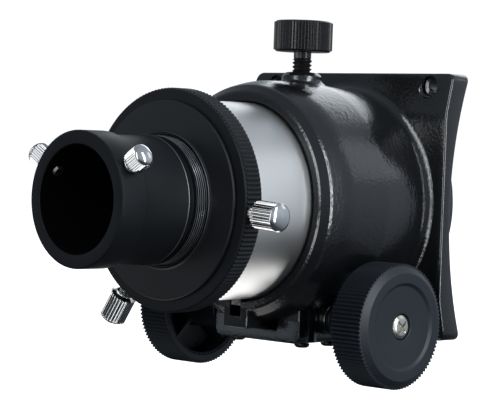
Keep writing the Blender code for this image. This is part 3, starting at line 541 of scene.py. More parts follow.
def dress(piece, finish, body, *nodes):
    """Give a piece its finish, the body that it rides on and the CAD nodes it stands for."""
    material, slot = FINISHES[finish]
    piece.data.materials.clear()
    piece.data.materials.append(material)
    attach(piece, body)
    if nodes:
        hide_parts(*nodes)


def turned_detail(node, profile, matrix, segments, finish, body, relief=None):
    """A turned piece that stands for one CAD node."""
    dress(lathe(f"{node}_detail", profile, matrix, segments, relief), finish, body, node)


# --- housing -------------------------------------
def plate_front(z):
    """Where the saddle plate's front face lies at a height z."""
    slope = (PLATE_EDGE_FRONT - PLATE_FRONT) / (PLATE_HALF_Z - PLATE_FLAT_HALF_Z)
    return PLATE_FRONT + slope * max(0.0, abs(z) - PLATE_FLAT_HALF_Z)


def housing_body():
    """The round body, its fillet onto the plate, the spigot and the guide rings' grooves."""
    fillet, lean, upright = 3.8, math.radians(40.0), math.radians(78.0)
    follow_from = PLATE_FRONT - 9.0
    groove_r = BODY_BORE_R + 0.9

    def follow_plate(angle, along, radius):
        """The rows near the plate follow its sloping front face."""
        if along <= follow_from or radius < WAIST_R - 1.0 or along > 0.5:
            return along, radius
        z = radius * math.sin(-angle)
        blend = min(1.0, (along - follow_from) / (PLATE_FRONT - fillet - follow_from))
        return along + blend * (plate_front(z) - PLATE_FRONT), radius

    base = []
    for step in range(7):
        angle = lean + (upright - lean) * step / 6
        base.append((PLATE_FRONT - fillet + fillet * math.sin(angle),
                     WAIST_R + fillet * (math.cos(lean) - math.cos(angle))))
    front = soften([(BODY_FRONT + 0.3, BODY_BORE_R), (BODY_FRONT, BODY_BORE_R + 0.3, 0.3),
                    (BODY_FRONT, FACE_R, 0.4), (BODY_FRONT + 0.33, FACE_R + 0.8, 0.4),
                    (BODY_FRONT + 2.3, BELLY_R - 1.75, 0.6),
                    (BODY_FRONT + 3.2, BELLY_R - 1.42, 1.5),
                    (BODY_FRONT + 9.0, BELLY_R, 40.0), (BODY_FRONT + 27.0, BELLY_R, 30.0),
                    (PLATE_FRONT - 9.5, WAIST_R + 0.2)], steps=8)
    base_y, base_r = base[-1]
    rear = soften([(base_y + 0.9, base_r + 0.3), (0.8, base_r + 0.3), (0.8, SPIGOT_R),
                   (SPIGOT_REAR, SPIGOT_R, 0.6), (SPIGOT_REAR, BODY_BORE_R)])
    straight = rows(PLATE_FRONT - 8.0, base[0][0] - 0.05, WAIST_R, 1.0)
    # the last front point only steers the rounding of the one before
    profile = front[:-1] + straight + base + rear
    for low, high in ((-14.0, -6.0), (BODY_FRONT + 1.5, BODY_FRONT + 9.5)):
        profile += [(high, BODY_BORE_R), (high, groove_r), (low, groove_r), (low, BODY_BORE_R)]
    return lathe("housing_detail", profile, ALONG_Y, 192, follow_plate)


def saddle_plate():
    """A bevelled slab cut into a fine grid, whose faces are then bent to shape."""
    thick, corner_r, rim_bevel, cell = 16.0, 2.8, 0.6, 2.5
    bore_r, washer_r, mouth_r = 2.1, 3.2, 3.7
    shape = bmesh.new()
    bmesh.ops.create_cube(shape, size=1.0)
    bmesh.ops.scale(shape, vec=(PLATE_HALF_X * 2, thick, PLATE_HALF_Z * 2), verts=shape.verts)
    corners = [e for e in shape.edges if abs(e.verts[0].co.y - e.verts[1].co.y) > 1.0]
    bmesh.ops.bevel(shape, geom=corners, offset=corner_r, segments=7, affect="EDGES", profile=0.5)
    rims = [e for e in shape.edges if abs(abs(e.verts[0].co.y) - thick / 2) < 0.01
            and abs(e.verts[0].co.y - e.verts[1].co.y) < 0.01]
    bmesh.ops.bevel(shape, geom=rims, offset=rim_bevel, segments=3, affect="EDGES", profile=0.5)
    for axis, half in ((0, PLATE_HALF_X), (2, PLATE_HALF_Z)):
        normal = Vector((axis == 0, 0.0, axis == 2))
        count = round(half * 2 / cell)
        for i in range(1, count):
            geometry = shape.verts[:] + shape.edges[:] + shape.faces[:]
            bmesh.ops.bisect_plane(shape, geom=geometry, dist=0.0001, plane_no=normal,
                                   plane_co=normal * (-half + half * 2 * i / count))
    for vert in shape.verts:
        _, y, z = vert.co
        inset = thick / 2 - abs(y)
        if y < 0:
            vert.co.y = plate_front(z) + inset
        else:
            vert.co.y = SADDLE_R - math.sqrt(SADDLE_R ** 2 - z ** 2) - inset
    plate = new_piece("plate", shape, UPRIGHT)
    holes = [rod("plate_bore", SPIGOT_R - 1.4, -20.0, 20.0, ALONG_Y, 96)]
    for sx in (-1, 1):
        for sz in (-1, 1):
            matrix = placed(ALONG_Y, sx * PLATE_HOLE[0], 0.0, sz * PLATE_HOLE[1])
            top = plate_front(PLATE_HOLE[1])
            stepped = soften([(12.0, 0.0), (12.0, bore_r), (top + 2.6, bore_r),
                              (top + 2.2, washer_r, 0.2), (top + 0.4, washer_r, 0.2),
                              (top - 0.1, mouth_r, 0.2), (top - 1.5, mouth_r + 0.7),
                              (top - 1.5, 0.0)])
            holes.append(lathe("hole", stepped, matrix, 32))
    return carve(plate, *holes)


def lock_boss():
    """Cast boss whose foot flares into the round body."""
    fillet, foot_z = 1.6, 33.5

    def follow_body(angle, along, radius):
        if along > BELLY_R + fillet + 0.01:
            return along, radius
        x = radius * math.cos(angle)
        return along - (BELLY_R - math.sqrt(BELLY_R ** 2 - x ** 2)), radius

    flare = []
    for step in range(7):
        angle = math.radians(78.0) * step / 6
        flare.append((BELLY_R - 0.15 + fillet - fillet * math.sin(angle),
                      BOSS_R + fillet - fillet * math.cos(angle)))
    top = soften([(BOSS_TOP_Z, 0.0), (BOSS_TOP_Z, BOSS_R - 1.4, 0.8),
                  (BOSS_TOP_Z - 1.2, BOSS_R, 0.9), (BELLY_R + fillet + 0.05, BOSS_R)])
    foot = [(BELLY_R - 2.0, BOSS_R + fillet + 0.4), (foot_z, BOSS_R + fillet), (foot_z, 0.0)]
    return lathe("boss", top + flare + foot, placed(UPRIGHT, 0.0, LOCK_Y, 0.0), 64, follow_body)


def side_boss(name, facing, low, high):
    """Round boss on the shaft, kept between two heights."""
    inner, outer = SHAFT_BOSS_X
    profile = soften([(inner, 0.0), (inner, SHAFT_BOSS_R), (outer, SHAFT_BOSS_R, 0.5),
                      (outer, 0.0)])
    boss = lathe(name, profile, placed(facing, 0.0, SHAFT_Y, SHAFT_Z), 64)
    window = block("window", (-40.0, SHAFT_Y - 20.0, low), (40.0, SHAFT_Y + 20.0, high))
    return combine(boss, "INTERSECT", [window])


def shaft_cutter(name):
    return rod(name, SHAFT_CUT_R, -SHAFT_CUT_X, SHAFT_CUT_X, placed(ALONG_X, 0.0, SHAFT_Y, SHAFT_Z))


def make_housing():
    front, rear = BRACKET[0].y, BRACKET[1].y
    bottom = SPLIT_Z + SPLIT_WIDTH / 2
    root_z, channel_half_x, channel_bottom = -20.0, 5.0, -39.4
    chamber_half_x, chamber_half_y = 4.4, 4.6
    hole_r, chamfer = 3.5, 0.6
    pedestal = block("pedestal", (-BRACKET_HALF_X, front, bottom - 2.0),
                     (BRACKET_HALF_X, rear, root_z), 0.5)
    carve(pedestal, block("below", (-50.0, front - 5.0, -50.0), (50.0, rear + 5.0, bottom)))
    channel = block("channel", (-channel_half_x, BODY_FRONT + 0.05, channel_bottom),
                    (channel_half_x, front + 6.0, -24.0), 0.45)
    extras = [lock_boss(), pedestal, channel]
    extras += uprights("upright", POST_R, bottom, -26.0, POST_PLACES, 40)
    extras += [side_boss("side", facing, bottom, root_z) for _, facing in SIDES]
    for piece in extras:
        carve(piece, rod("inside", BODY_BORE_R + 0.5, -60.0, 20.0, ALONG_Y, 96))
    housing = fuse(housing_body(), saddle_plate(), *extras)
    lock_hole = [(20.0, 0.0), (20.0, hole_r), (BOSS_TOP_Z - chamfer, hole_r),
                 (BOSS_TOP_Z + chamfer, hole_r + 2 * chamfer), (BOSS_TOP_Z + chamfer, 0.0)]
    cutters = [
        block("slot", (-SLOT_HALF_X, BODY_FRONT - 1.0, SLOT_BOTTOM_Z),
              (SLOT_HALF_X, SPIGOT_REAR + 1.0, -26.0)),
        block("chamber", (-chamber_half_x, SHAFT_Y - chamber_half_y, CUT_LOW_Z),
              (chamber_half_x, SHAFT_Y + chamber_half_y, -26.0)),
        shaft_cutter("shaft_round"),
        block("shaft_slot", (-SHAFT_CUT_X, SHAFT_Y - SHAFT_CUT_R, CUT_LOW_Z),
              (SHAFT_CUT_X, SHAFT_Y + SHAFT_CUT_R, SHAFT_Z)),
        lathe("lock_hole", lock_hole, placed(UPRIGHT, 0.0, LOCK_Y, 0.0), 48),
    ]
    carve(housing, *cutters, *uprights("tap", SCREW_HOLE_R, CUT_LOW_Z, -30.2, SCREW_PLACES, 24))
    dress(housing, "paint", "housing", "focuser_housing")


def make_bracket():
    half_x, bottom, floor = BRACKET_HALF_X, BRACKET[0].z, -39.7
    cheek, top = BRACKET_CHEEK_X, SPLIT_Z - SPLIT_WIDTH / 2
    outline = soften([(-half_x, bottom, 2.4), (half_x, bottom, 2.4), (half_x, top + 2.0),
                      (cheek, top + 2.0), (cheek, floor, 0.8), (-cheek, floor, 0.8),
                      (-cheek, top + 2.0), (-half_x, top + 2.0)], steps=5, closed=True)
    front, rear = BRACKET[0].y, BRACKET[1].y
    bracket = prism("bracket_detail", outline, -rear, -front, FACING_FRONT, 0.35)
    carve(bracket, block("above", (-50.0, front - 5.0, top), (50.0, rear + 5.0, top + 10.0)))
    fuse(bracket, *uprights("upright", POST_R, bottom + 0.4, top, POST_PLACES, 40))
    fuse(bracket, *[side_boss("side", facing, -50.0, top) for _, facing in SIDES])
    carve(bracket, rod("belly", BELLY_R + 0.2, front - 1.0, rear + 1.0, ALONG_Y, 192),
          shaft_cutter("saddle"),
          *uprights("hole", SCREW_HOLE_R, CUT_LOW_Z, -34.0, SCREW_PLACES, 24))
    dress(bracket, "paint", "housing", "pinion_bracket")


def cross_cutters(matrix, top, size, width, depth):
    """A cross recess: two tapered blades."""
    blades = []
    for i in range(2):
        outline = [(-size, top + 0.5), (size, top + 0.5), (size, top), (size * 0.45, top - depth),
                   (-size * 0.45, top - depth), (-size, top)]
        turn = Matrix.Rotation(math.radians(45 + 90 * i), 4, "Z")
        blades.append(prism("blade", outline, -width / 2, width / 2, matrix @ turn @ FACING_FRONT))
    return blades


def make_bracket_screws():
    seat, tip, shank_r, head_r = 0.2 - BRACKET[0].z, 30.6, 1.4, 2.4
    top = seat + 1.3
    profile = soften([(tip, 0.0), (tip, shank_r, 0.2), (seat, shank_r), (seat, head_r, 0.15),
                      (seat + 0.7, head_r, 0.5), (top, head_r - 0.7, 0.6), (top, 0.0)])
    for i, (x, y) in enumerate(SCREW_PLACES, start=1):
        down = placed(Matrix.Rotation(math.pi, 4, "X"), x, y, 0.0)
        screw = lathe(f"bracket_screw_{i}_detail", profile, down, 40)
        carve(screw, *cross_cutters(down, top, 1.3, 0.45, 0.9))
        dress(screw, "oxide", "housing", f"bracket_screw_{i}")


def make_bushes_and_washers():
    start, shoulder, end = BUSH_X
    bore, washer_bore = SHAFT_R + PRESS_FIT, 2.8
    bush = soften([(end, bore, 0.15), (end, BUSH_FLANGE_R, 0.3), (shoulder, BUSH_FLANGE_R, 0.1),
                   (shoulder, BUSH_R), (start, BUSH_R, 0.2), (start, bore, 0.15)], closed=True)
    inner, outer = WASHER_X
    washer = soften([(outer, washer_bore, 0.1), (outer, WASHER_R, 0.2), (inner, WASHER_R, 0.2),
                     (inner, washer_bore, 0.1)], closed=True)
    for side, facing in SIDES:
        matrix = placed(facing, 0.0, SHAFT_Y, SHAFT_Z)
        for node, section, body in (("shaft_bush", bush, "housing"),
                                    ("thrust_washer", washer, "pinion")):
            turned_detail(f"{node}_{side}", section, matrix, 64, "nylon", body)


def make_guide_rings():
    """Nylon rings, open below where the rack passes."""
    inner_r, gap_half_x = TUBE_R + 0.3, 4.2
    for name in ("front_guide_ring", "rear_guide_ring"):
        low, high = span(name)
        section = soften([(high.y, inner_r, 0.15), (high.y, high.z, 0.2), (low.y, high.z, 0.2),
                          (low.y, inner_r, 0.15)], closed=True)
        ring = lathe(f"{name}_detail", section, ALONG_Y, 160)
        carve(ring, block("opening", (-gap_half_x, -80.0, -40.0), (gap_half_x, 20.0, -20.0)))
        dress(ring, "nylon", "housing", name)


# --- drawtube ------------------------------------
def make_drawtube():
    section = soften([(TUBE_REAR, TUBE_BORE_R, 0.4), (TUBE_REAR, TUBE_R, 0.5),
                      (TUBE_FRONT, TUBE_R, 0.2), (TUBE_FRONT, TUBE_BORE_R, 0.2)], closed=True)
    tube = lathe("drawtube_detail", section, ALONG_Y, 256)
    rack_low, rack_high = span("rack")
    cutters = [block("tube_slot", (-SLOT_HALF_X, rack_low.y - 0.4, -34.0),
                     (SLOT_HALF_X, TUBE_REAR + 1.0, RACK_TOP_Z + 0.3))]
    shank_r, head_r, tap_r = 0.85, 1.45, 1.15
    tip, seat, low = -28.7, RACK_TOP_Z - 1.3, RACK_TOP_Z - 2.2
    screw = soften([(tip, 0.0), (tip, shank_r, 0.1), (seat, shank_r), (seat, head_r, 0.1),
                    (low, head_r, 0.2), (low, 0.0)])
    for number, y in enumerate((rack_low.y + 2.0, rack_high.y - 2.0), start=1):
        place = placed(UPRIGHT, 0.0, y, 0.0)
        cutters.append(rod("tap", tap_r, -33.0, -26.0, place, 24))
        turned_detail(f"rack_screw_{number}", screw, place, 32, "nickel", "drawtube")
    carve(tube, *cutters)
    dress(tube, "aluminium", "drawtube", "drawtube")
    # painted shade inside the bore, also standing for the tube's black coating
    paint_inward_shade(tube, 0.0, TUBE_BORE_R + 0.1)
    rack = frame["nodes"]["rack"]
    rack.data.materials.clear()
    rack.data.materials.append(WORN_STEEL)


def radial_frame(angle, y):
    """Local Z points away from the optical axis, at an angle above the right-hand side."""
    turn = Matrix.Rotation(math.radians(90.0 - angle), 4, "Y")
    return placed(turn, 0.0, y, 0.0)


def stud_holes(group, y, low, high):
    return [rod("tap", STUD_R + 0.3, low, high, radial_frame(angle, y), 32)
            for angle in SCREW_ANGLES[group]]


def make_eyepiece_ring():
    ribs = (RING_FRONT + 0.75, RING_REAR - 0.35)
    skirt_rear, skirt_r, land_r = RING[1].y, TUBE_BORE_R - 0.3, RING_R - 0.3
    section = soften([(skirt_rear, TWO_INCH_BORE_R, 0.2), (skirt_rear, skirt_r, 0.3),
                      (RING_REAR, skirt_r), (RING_REAR, RING_R - 0.45, 0.1)])
    section += [(ribs[1] + 0.01, RING_R - 0.4)]
    section += rows(ribs[1], ribs[0], RING_R, 1.0)
    section += soften([(ribs[0] - 0.01, land_r), (RING_FRONT + 0.35, land_r, 0.2),
                       (RING_FRONT, RING_R - 0.5, 0.15), (RING_FRONT, TWO_INCH_BORE_R + 0.4, 0.1),
                       (RING_FRONT + 0.4, TWO_INCH_BORE_R)])
    ring = lathe("eyepiece_ring_detail", section, ALONG_Y, RING_RIBS * 6,
                 knurl(RING_RIBS, 0.42, ribs[0], ribs[1], 0.8))
    carve(ring, *stud_holes("ring", RING_SCREW_Y, 20.0, 36.0))
    dress(ring, "ring", "drawtube", "eyepiece_ring")
    # painted shade inside the bore
    paint_inward_shade(ring, 0.0, TWO_INCH_BORE_R + 0.3)


def make_adapter():
    rear, flange_rear = ADAPTER[1].y, RING_FRONT - 0.3
    socket_r, socket_rear, lip_front = THREAD_R + 0.3, FLANGE_FRONT + 7.4, FLANGE_FRONT - 0.5
    section = soften([(rear, BARREL_BORE_R, 0.3), (rear, BARREL_R, 0.6), (flange_rear, BARREL_R),
                      (flange_rear, FLANGE_R, 0.15), (FLANGE_FRONT, FLANGE_R, 0.4),
                      (FLANGE_FRONT, ADAPTER_LIP_R + 0.45, 0.1),
                      (lip_front, ADAPTER_LIP_R + 0.05, 0.15), (lip_front, socket_r, 0.1),
                      (socket_rear, socket_r), (socket_rear, BARREL_BORE_R)], closed=True)
    adapter = lathe("eyepiece_adapter_detail", section, ALONG_Y, 256)
    dress(adapter, "anodised", "adapter", "eyepiece_adapter")
    start, end, inner = FLANGE_FRONT - 0.6, FLANGE_FRONT + 0.3, ADAPTER_LIP_R - 0.45
    lip = soften([(end, ADAPTER_LIP_R), (FLANGE_FRONT - 0.05, ADAPTER_LIP_R + 0.3, 0.05),
                  (start, ADAPTER_LIP_R - 0.05, 0.1), (start, inner, 0.05), (end, inner)],
                 closed=True)
    dress(lathe("eyepiece_adapter_rim", lip, ALONG_Y, 192), "rim", "adapter", "eyepiece_adapter")
    # painted shade inside the bore
    paint_inward_shade(adapter, 0.0, BARREL_BORE_R + 0.1)


def make_holder():
    rear = HOLDER[1].y
    collar_rear, tail_r, rim_front = HOLDER_FRONT + 9.5, THREAD_R - 0.6, NECK_REAR - 0.35
    thread_start, thread_end = GROOVE_REAR + 0.05, FLANGE_FRONT + 0.6
    front = soften([(rear, EYEPIECE_BORE_R), (HOLDER_FRONT, EYEPIECE_BORE_R, 0.45),
                    (HOLDER_FRONT, COLLAR_R, 0.55), (collar_rear, COLLAR_R, 0.5),
                    (collar_rear + 0.7, NECK_R + 0.1, 0.5), (NECK_REAR - 0.5, NECK_R + 0.3),
                    (NECK_REAR, NECK_R + 0.45, 0.3), (NECK_REAR + 0.3, GROOVE_R + 0.45, 0.1),
                    (NECK_REAR + 1.0, GROOVE_R + 0.4, 0.1), (NECK_REAR + 1.15, GROOVE_R, 0.1),
                    (GROOVE_REAR - 0.2, GROOVE_R, 0.1), (GROOVE_REAR, THREAD_R - 0.05, 0.05)])
    profile = front + [(thread_start, tail_r), (rear, tail_r)]
    holder = lathe("eyepiece_holder_detail", profile, ALONG_Y, 192)
    sleeve = [(thread_start, THREAD_R - 0.55)]
    sleeve += rows(thread_start + 0.02, thread_end, THREAD_R, FINE_PITCH / 8)
    sleeve += [(rear, THREAD_R - 0.01), (rear, THREAD_R - 0.55)]
    crests = lathe("eyepiece_holder_thread", sleeve, ALONG_Y, 192,
                   thread(FINE_PITCH, 0.45, GROOVE_REAR, thread_end, THREAD_R))
    dress(crests, "thread", "holder", "eyepiece_holder")
    rim = soften([(NECK_REAR, NECK_R - 0.2), (NECK_REAR, NECK_R + 0.5, 0.1),
                  (rim_front, NECK_R + 0.45, 0.1), (rim_front, NECK_R - 0.2)], closed=True)
    dress(lathe("eyepiece_holder_rim", rim, ALONG_Y, 192), "neck_rim", "holder", "eyepiece_holder")
    carve(holder, *stud_holes("holder", HOLDER_SCREW_Y, 12.0, 24.0))
    dress(holder, "holder", "holder", "eyepiece_holder")
    # painted shade inside the bore
    paint_inward_shade(holder, 0.0, EYEPIECE_BORE_R + 0.1)


def make_thumb_screw(node, angle, y, tip, seat, head_r, length, dome):
    """Chrome thumb screw: threaded stud, waisted shoulder, knurled head and polished end."""
    matrix = radial_frame(angle, y)
    stud_end, pitch, shoulder_r, side_r = seat + 4.0, 0.7, 2.6, head_r - 0.06
    crests = rows(tip + 0.6, seat + 0.6, STUD_R, pitch / 8)
    stud = [(tip, 0.0), (tip, STUD_R - 0.5)] + crests + [(stud_end, STUD_R - 0.01), (stud_end, 0.0)]
    turned_detail(f"{node}_stud", stud, matrix, 40, "nickel", f"{node}_stud",
                  thread(pitch, 0.3, tip + 0.5, seat + 0.6, STUD_R))
    top = seat + length
    ribs = (seat + 1.2, top - dome - 0.15)
    bore, bore_end = STUD_R + PRESS_FIT, stud_end + 0.2
    head = soften([(bore_end, 0.0), (bore_end, bore), (seat, bore), (seat, shoulder_r, 0.25),
                   (seat + 0.35, shoulder_r + 0.1, 0.2), (seat + 0.55, shoulder_r - 0.1, 0.1),
                   (seat + 0.75, shoulder_r + 0.2, 0.15), (ribs[0] - 0.02, head_r - 0.4)], steps=3)
    head += rows(ribs[0], ribs[1], head_r, 1.2)
    head += soften([(ribs[1] + 0.02, head_r - 0.35), (ribs[1] + 0.1, head_r - 0.3),
                    (ribs[1] + 0.25, head_r - 0.05, 0.05)], steps=3)
    for step in range(1, 10):
        lift = math.radians(10.0 * step)
        head.append((top - dome * (1 - math.sin(lift)), side_r * math.cos(lift)))
    head[-1] = (top, 0.0)
    turned_detail(f"{node}_head", head, matrix, THUMB_RIBS * 8, "chrome", f"{node}_head",
                  knurl(THUMB_RIBS, 0.45, ribs[0], ribs[1], 0.9))


# --- pinion, knobs and lock screw ----------------
def make_pinion_shaft():
    end, hole, hole_r = SHAFT_HALF_LENGTH, SHAFT_HALF_LENGTH - 8.5, 1.7
    relief, relief_r = 4.0, 2.2
    teeth, module, pitch_r, addendum, dedendum = 12, 0.5, 3.0, 0.4, 0.62
    backlash, pressure = 0.16, math.radians(20.0)
    matrix = placed(ALONG_X, SHAFT_X, SHAFT_Y, SHAFT_Z)
    half = [(hole, 0.0), (hole, hole_r), (end, hole_r, 0.1), (end, SHAFT_R, 0.3),
            (relief, SHAFT_R, 0.2), (relief - 0.4, relief_r, 0.2)]
    profile = soften(half + [(-along, *rest) for along, *rest in reversed(half)])
    shaft = lathe("pinion_shaft_detail", profile, matrix, 64)
    outline = []
    for tooth in range(teeth):
        centre = math.tau * (tooth + 0.5) / teeth
        for side, depth in ((-1, -dedendum), (-1, addendum), (1, addendum), (1, -dedendum)):
            radius = pitch_r + depth
            width = (math.pi * module - backlash) / 4 - depth * math.tan(pressure)
            angle = centre + side * min(width / radius, 0.48 * math.tau / teeth)
            outline.append((radius * math.sin(angle), radius * math.cos(angle)))
    fuse(shaft, prism("teeth", outline, -3.0, 3.0, matrix))
    dress(shaft, "nickel", "pinion", "pinion_shaft")


def make_knob(side, facing):
    matrix = placed(facing, SHAFT_X, SHAFT_Y, SHAFT_Z)
    hub = KNOB_HUB_X - SHAFT_X if side == "right" else KNOB_HUB_X + SHAFT_X
    face, inner = KNOB_OUTER_X, KNOB_OUTER_X - 12.9
    ribs, seat = (inner + 0.2, face - 1.5), face - 2.6
    rim_inner, web, hub_r, recess_r, face_r = 16.2, 45.5, 6.4, 12.8, 16.4
    outside = soften([(seat, KNOB_SCREW_R + 0.3), (face - 0.9, KNOB_SCREW_R + 0.3, 0.25),
                      (face - 0.7, recess_r - 0.3, 0.3), (face, recess_r + 0.6, 0.5),
                      (face, face_r, 0.5), (ribs[1] + 0.2, KNOB_R - 1.0, 0.3),
                      (ribs[1] + 0.02, KNOB_R - 0.75)], steps=6)
    outside += rows(ribs[1], ribs[0], KNOB_R, 2.0)
    outside += soften([(ribs[0] - 0.02, KNOB_R - 0.75), (inner, KNOB_R - 0.85, 0.2),
                       (inner, rim_inner, 0.3), (web, rim_inner, 0.8), (web, hub_r + 0.7, 0.8),
                       (hub, hub_r, 0.4), (hub, SHAFT_R + PRESS_FIT, 0.2),
                       (seat, SHAFT_R + PRESS_FIT)])
    knob = lathe(f"focus_knob_{side}_detail", outside, matrix, KNOB_RIBS * 6,
                 knurl(KNOB_RIBS, 0.8, ribs[0], ribs[1], 1.2))
    rib = rectangle((hub_r - 0.6, -0.65), (rim_inner + 0.8, 0.65))
    for i in range(4):
        turn = Matrix.Rotation(math.tau * (i + 0.5) / 4, 4, "Z")
        fuse(knob, prism("rib", rib, inner + 2.0, web + 0.4, matrix @ turn, 0.2, 2))
    dress(knob, "plastic", "pinion", f"focus_knob_{side}")
    # painted shade inside the knob's rim
    paint_inward_shade(knob, rim_inner - 1.0, rim_inner + 0.3)


def make_knob_screw(side, facing):
    matrix = placed(facing, SHAFT_X, SHAFT_Y, SHAFT_Z)
    seat, top = KNOB_OUTER_X - 2.3, KNOB_OUTER_X - 0.5
    end, shank_r = SHAFT_HALF_LENGTH - 7.5, 1.35
    profile = soften([(end, 0.0), (end, shank_r, 0.2), (seat, shank_r), (seat, KNOB_SCREW_R, 0.15),
                      (top - 0.8, KNOB_SCREW_R, 0.5), (top - 0.15, 2.6, 1.2), (top, 0.0)], steps=6)
    screw = lathe(f"knob_screw_{side}_detail", profile, matrix, 64)
    carve(screw, *cross_cutters(matrix, top, 2.5, 0.75, 1.3))
    dress(screw, "nickel", "pinion", f"knob_screw_{side}")


def make_lock_screw():
    matrix = placed(UPRIGHT, 0.0, LOCK_Y, 0.0)
    neck_z, head_z, neck_r, thread_r, pitch = 45.1, 47.5, 2.8, 3.2, 1.27
    ribs = (head_z + 0.6, LOCK_TOP_Z - 0.5)
    face_r, edge_r, rib_foot_r = LOCK_HEAD_R - 0.9, LOCK_HEAD_R - 0.3, LOCK_HEAD_R - 0.25
    dish_r, dish_z = 5.2, LOCK_TOP_Z - 0.5
    profile = [(LOCK_TIP_Z, 0.0), (LOCK_TIP_Z, thread_r - 0.8)]
    profile += rows(LOCK_TIP_Z + 0.8, neck_z, thread_r, pitch / 12)
    profile += soften([(neck_z + 0.05, neck_r - 0.2), (neck_z + 0.4, neck_r, 0.2),
                       (head_z, neck_r, 0.3), (head_z, face_r, 0.2), (ribs[0] - 0.1, edge_r, 0.1),
                       (ribs[0] - 0.02, rib_foot_r)])
    profile += rows(ribs[0], ribs[1], LOCK_HEAD_R, 2.0)
    profile += soften([(ribs[1] + 0.02, rib_foot_r), (ribs[1] + 0.1, edge_r, 0.1),
                       (LOCK_TOP_Z, face_r, 0.2), (LOCK_TOP_Z, dish_r, 0.4),
                       (dish_z, dish_r - 0.4, 0.4), (dish_z, 0.0)])
    ribbed = knurl(LOCK_RIBS, 0.5, ribs[0], ribs[1], 1.2)
    threaded = thread(pitch, 0.75, LOCK_TIP_Z + 0.6, neck_z + 0.3, thread_r)

    def relief(angle, along, radius):
        return ribbed(angle, along, radius) if along > head_z else threaded(angle, along, radius)

    turned_detail("lock_screw", profile, matrix, LOCK_RIBS * 6, "oxide", "lock_screw", relief)
    low, high = span("lock_pad")
    pad = soften([(low.z, 0.0), (low.z, high.x, 0.2), (high.z, high.x, 0.2), (high.z, 0.0)])
    turned_detail("lock_pad", pad, matrix, 48, "nylon", "lock_pad")


make_housing()
make_bracket()
make_bracket_screws()
make_bushes_and_washers()
make_guide_rings()
make_drawtube()
make_eyepiece_ring()
make_adapter()
make_holder()
for number, screw_angle in enumerate(SCREW_ANGLES["holder"], start=1):
    make_thumb_screw(f"holder_screw_{number}", screw_angle, HOLDER_SCREW_Y, tip=15.4,
                     seat=COLLAR_R + 0.4, head_r=3.5, length=7.6, dome=2.0)
for number, screw_angle in enumerate(SCREW_ANGLES["ring"], start=1):
    make_thumb_screw(f"ring_screw_{number}", screw_angle, RING_SCREW_Y, tip=BARREL_R + 0.3,
                     seat=RING_R + 1.3, head_r=4.2, length=10.8, dome=1.4)
make_pinion_shaft()
for knob_side, knob_facing in SIDES:
    make_knob(knob_side, knob_facing)
    make_knob_screw(knob_side, knob_facing)
make_lock_screw()


# --- stage, light and camera ---------------------
COOL, WARM, WHITE = (0.94, 0.98, 1.0), (1.0, 0.985, 0.97), (1.0, 1.0, 1.0)
BLUISH = (0.86, 0.98, 1.08)
PANEL_DISTANCE = 1.0
PANEL_CENTRE = Vector((0.0, -0.05, 0.0))
CAMERA_AZIMUTH, CAMERA_ELEVATION, CAMERA_ROLL = 44.127, 1.667, 2.084
CAMERA_TARGET = Vector((0.0, -46.0, -1.15)) * MM
CAMERA_DISTANCE = 0.66932
LENS, SENSOR = 154.68, 36.0

# panel: azimuths, elevations, radiance, colour, and the endings of the pieces that it shines on;
# without an ending it shines on everything
PANELS = {
    "rear_left_panel": ((181, 225), (12, 43), 1.3, COOL),
    "rear_right_panel": ((137, 157), (15, 40), 0.55, COOL),
    "side_strip": ((88, 102), (-20, 50), 4.5, COOL),
    "front_strip": ((8, 20), (-20, 45), 2.5, COOL),
    "body_side_strip": ((80, 97), (-20, 50), 7.5, COOL, "housing_detail"),
    "body_front_strip": ((-6, 9), (-20, 45), 6.0, COOL, "housing_detail"),
    "rim_strip": ((60, 110), (-10, 50), 2.5, COOL, "_thread", "_rim"),
    "knob_strip": ((45, 85), (5, 60), 4.5, COOL, "focus_knob_right_detail"),
    "low_panel": ((172, 240), (-62, -12), 1.8, WHITE, "_head_detail", "drawtube_detail"),
    "front_panel": ((-75, -15), (-50, 40), 1.4, WHITE, "_head_detail"),
    "low_left_panel": ((250, 318), (-76, -34), 0.85, WARM, "housing_detail", "adapter_detail"),
    "bracket_panel": ((-62, -30), (-16, 12), 0.45, BLUISH, "bracket_detail"),
    "lock_panel": ((-62, -12), (-25, 30), 1.7, COOL, "lock_screw_detail"),
    "face_panel": ((-62, -30), (-16, 12), 0.16, COOL, "holder_detail", "adapter_detail",
                   "ring_detail", "knob_right_detail", "knob_left_detail"),
}


def make_floor():
    """A white table. It is seen by the camera only, like a light table far below the object."""
    material, tree, shader = start_material("pale_floor", specular=0.2)
    broad = noise(tree, object_coordinates(tree), 0.6, 2.0)
    colour_between(tree, shader, broad, (0.86, 0.86, 0.86), (0.88, 0.88, 0.88))
    shader.inputs["Roughness"].default_value = 0.7
    shader.inputs["Emission Color"].default_value = (1.0, 1.0, 1.0, 1.0)
    shader.inputs["Emission Strength"].default_value = 1.0
    shape = bmesh.new()
    bmesh.ops.create_circle(shape, cap_ends=True, segments=96, radius=4000.0)
    floor = new_piece("floor", shape, placed(UPRIGHT, 0.0, 0.0, -75.0))
    floor.data.materials.append(material)
    floor.visible_diffuse = floor.visible_glossy = floor.visible_shadow = False


def toward(azimuth, elevation):
    """The unit vector from the object towards a direction in radians; azimuth 0 is the front."""
    return Vector((math.sin(azimuth) * math.cos(elevation),
                   -math.cos(azimuth) * math.cos(elevation), math.sin(elevation)))


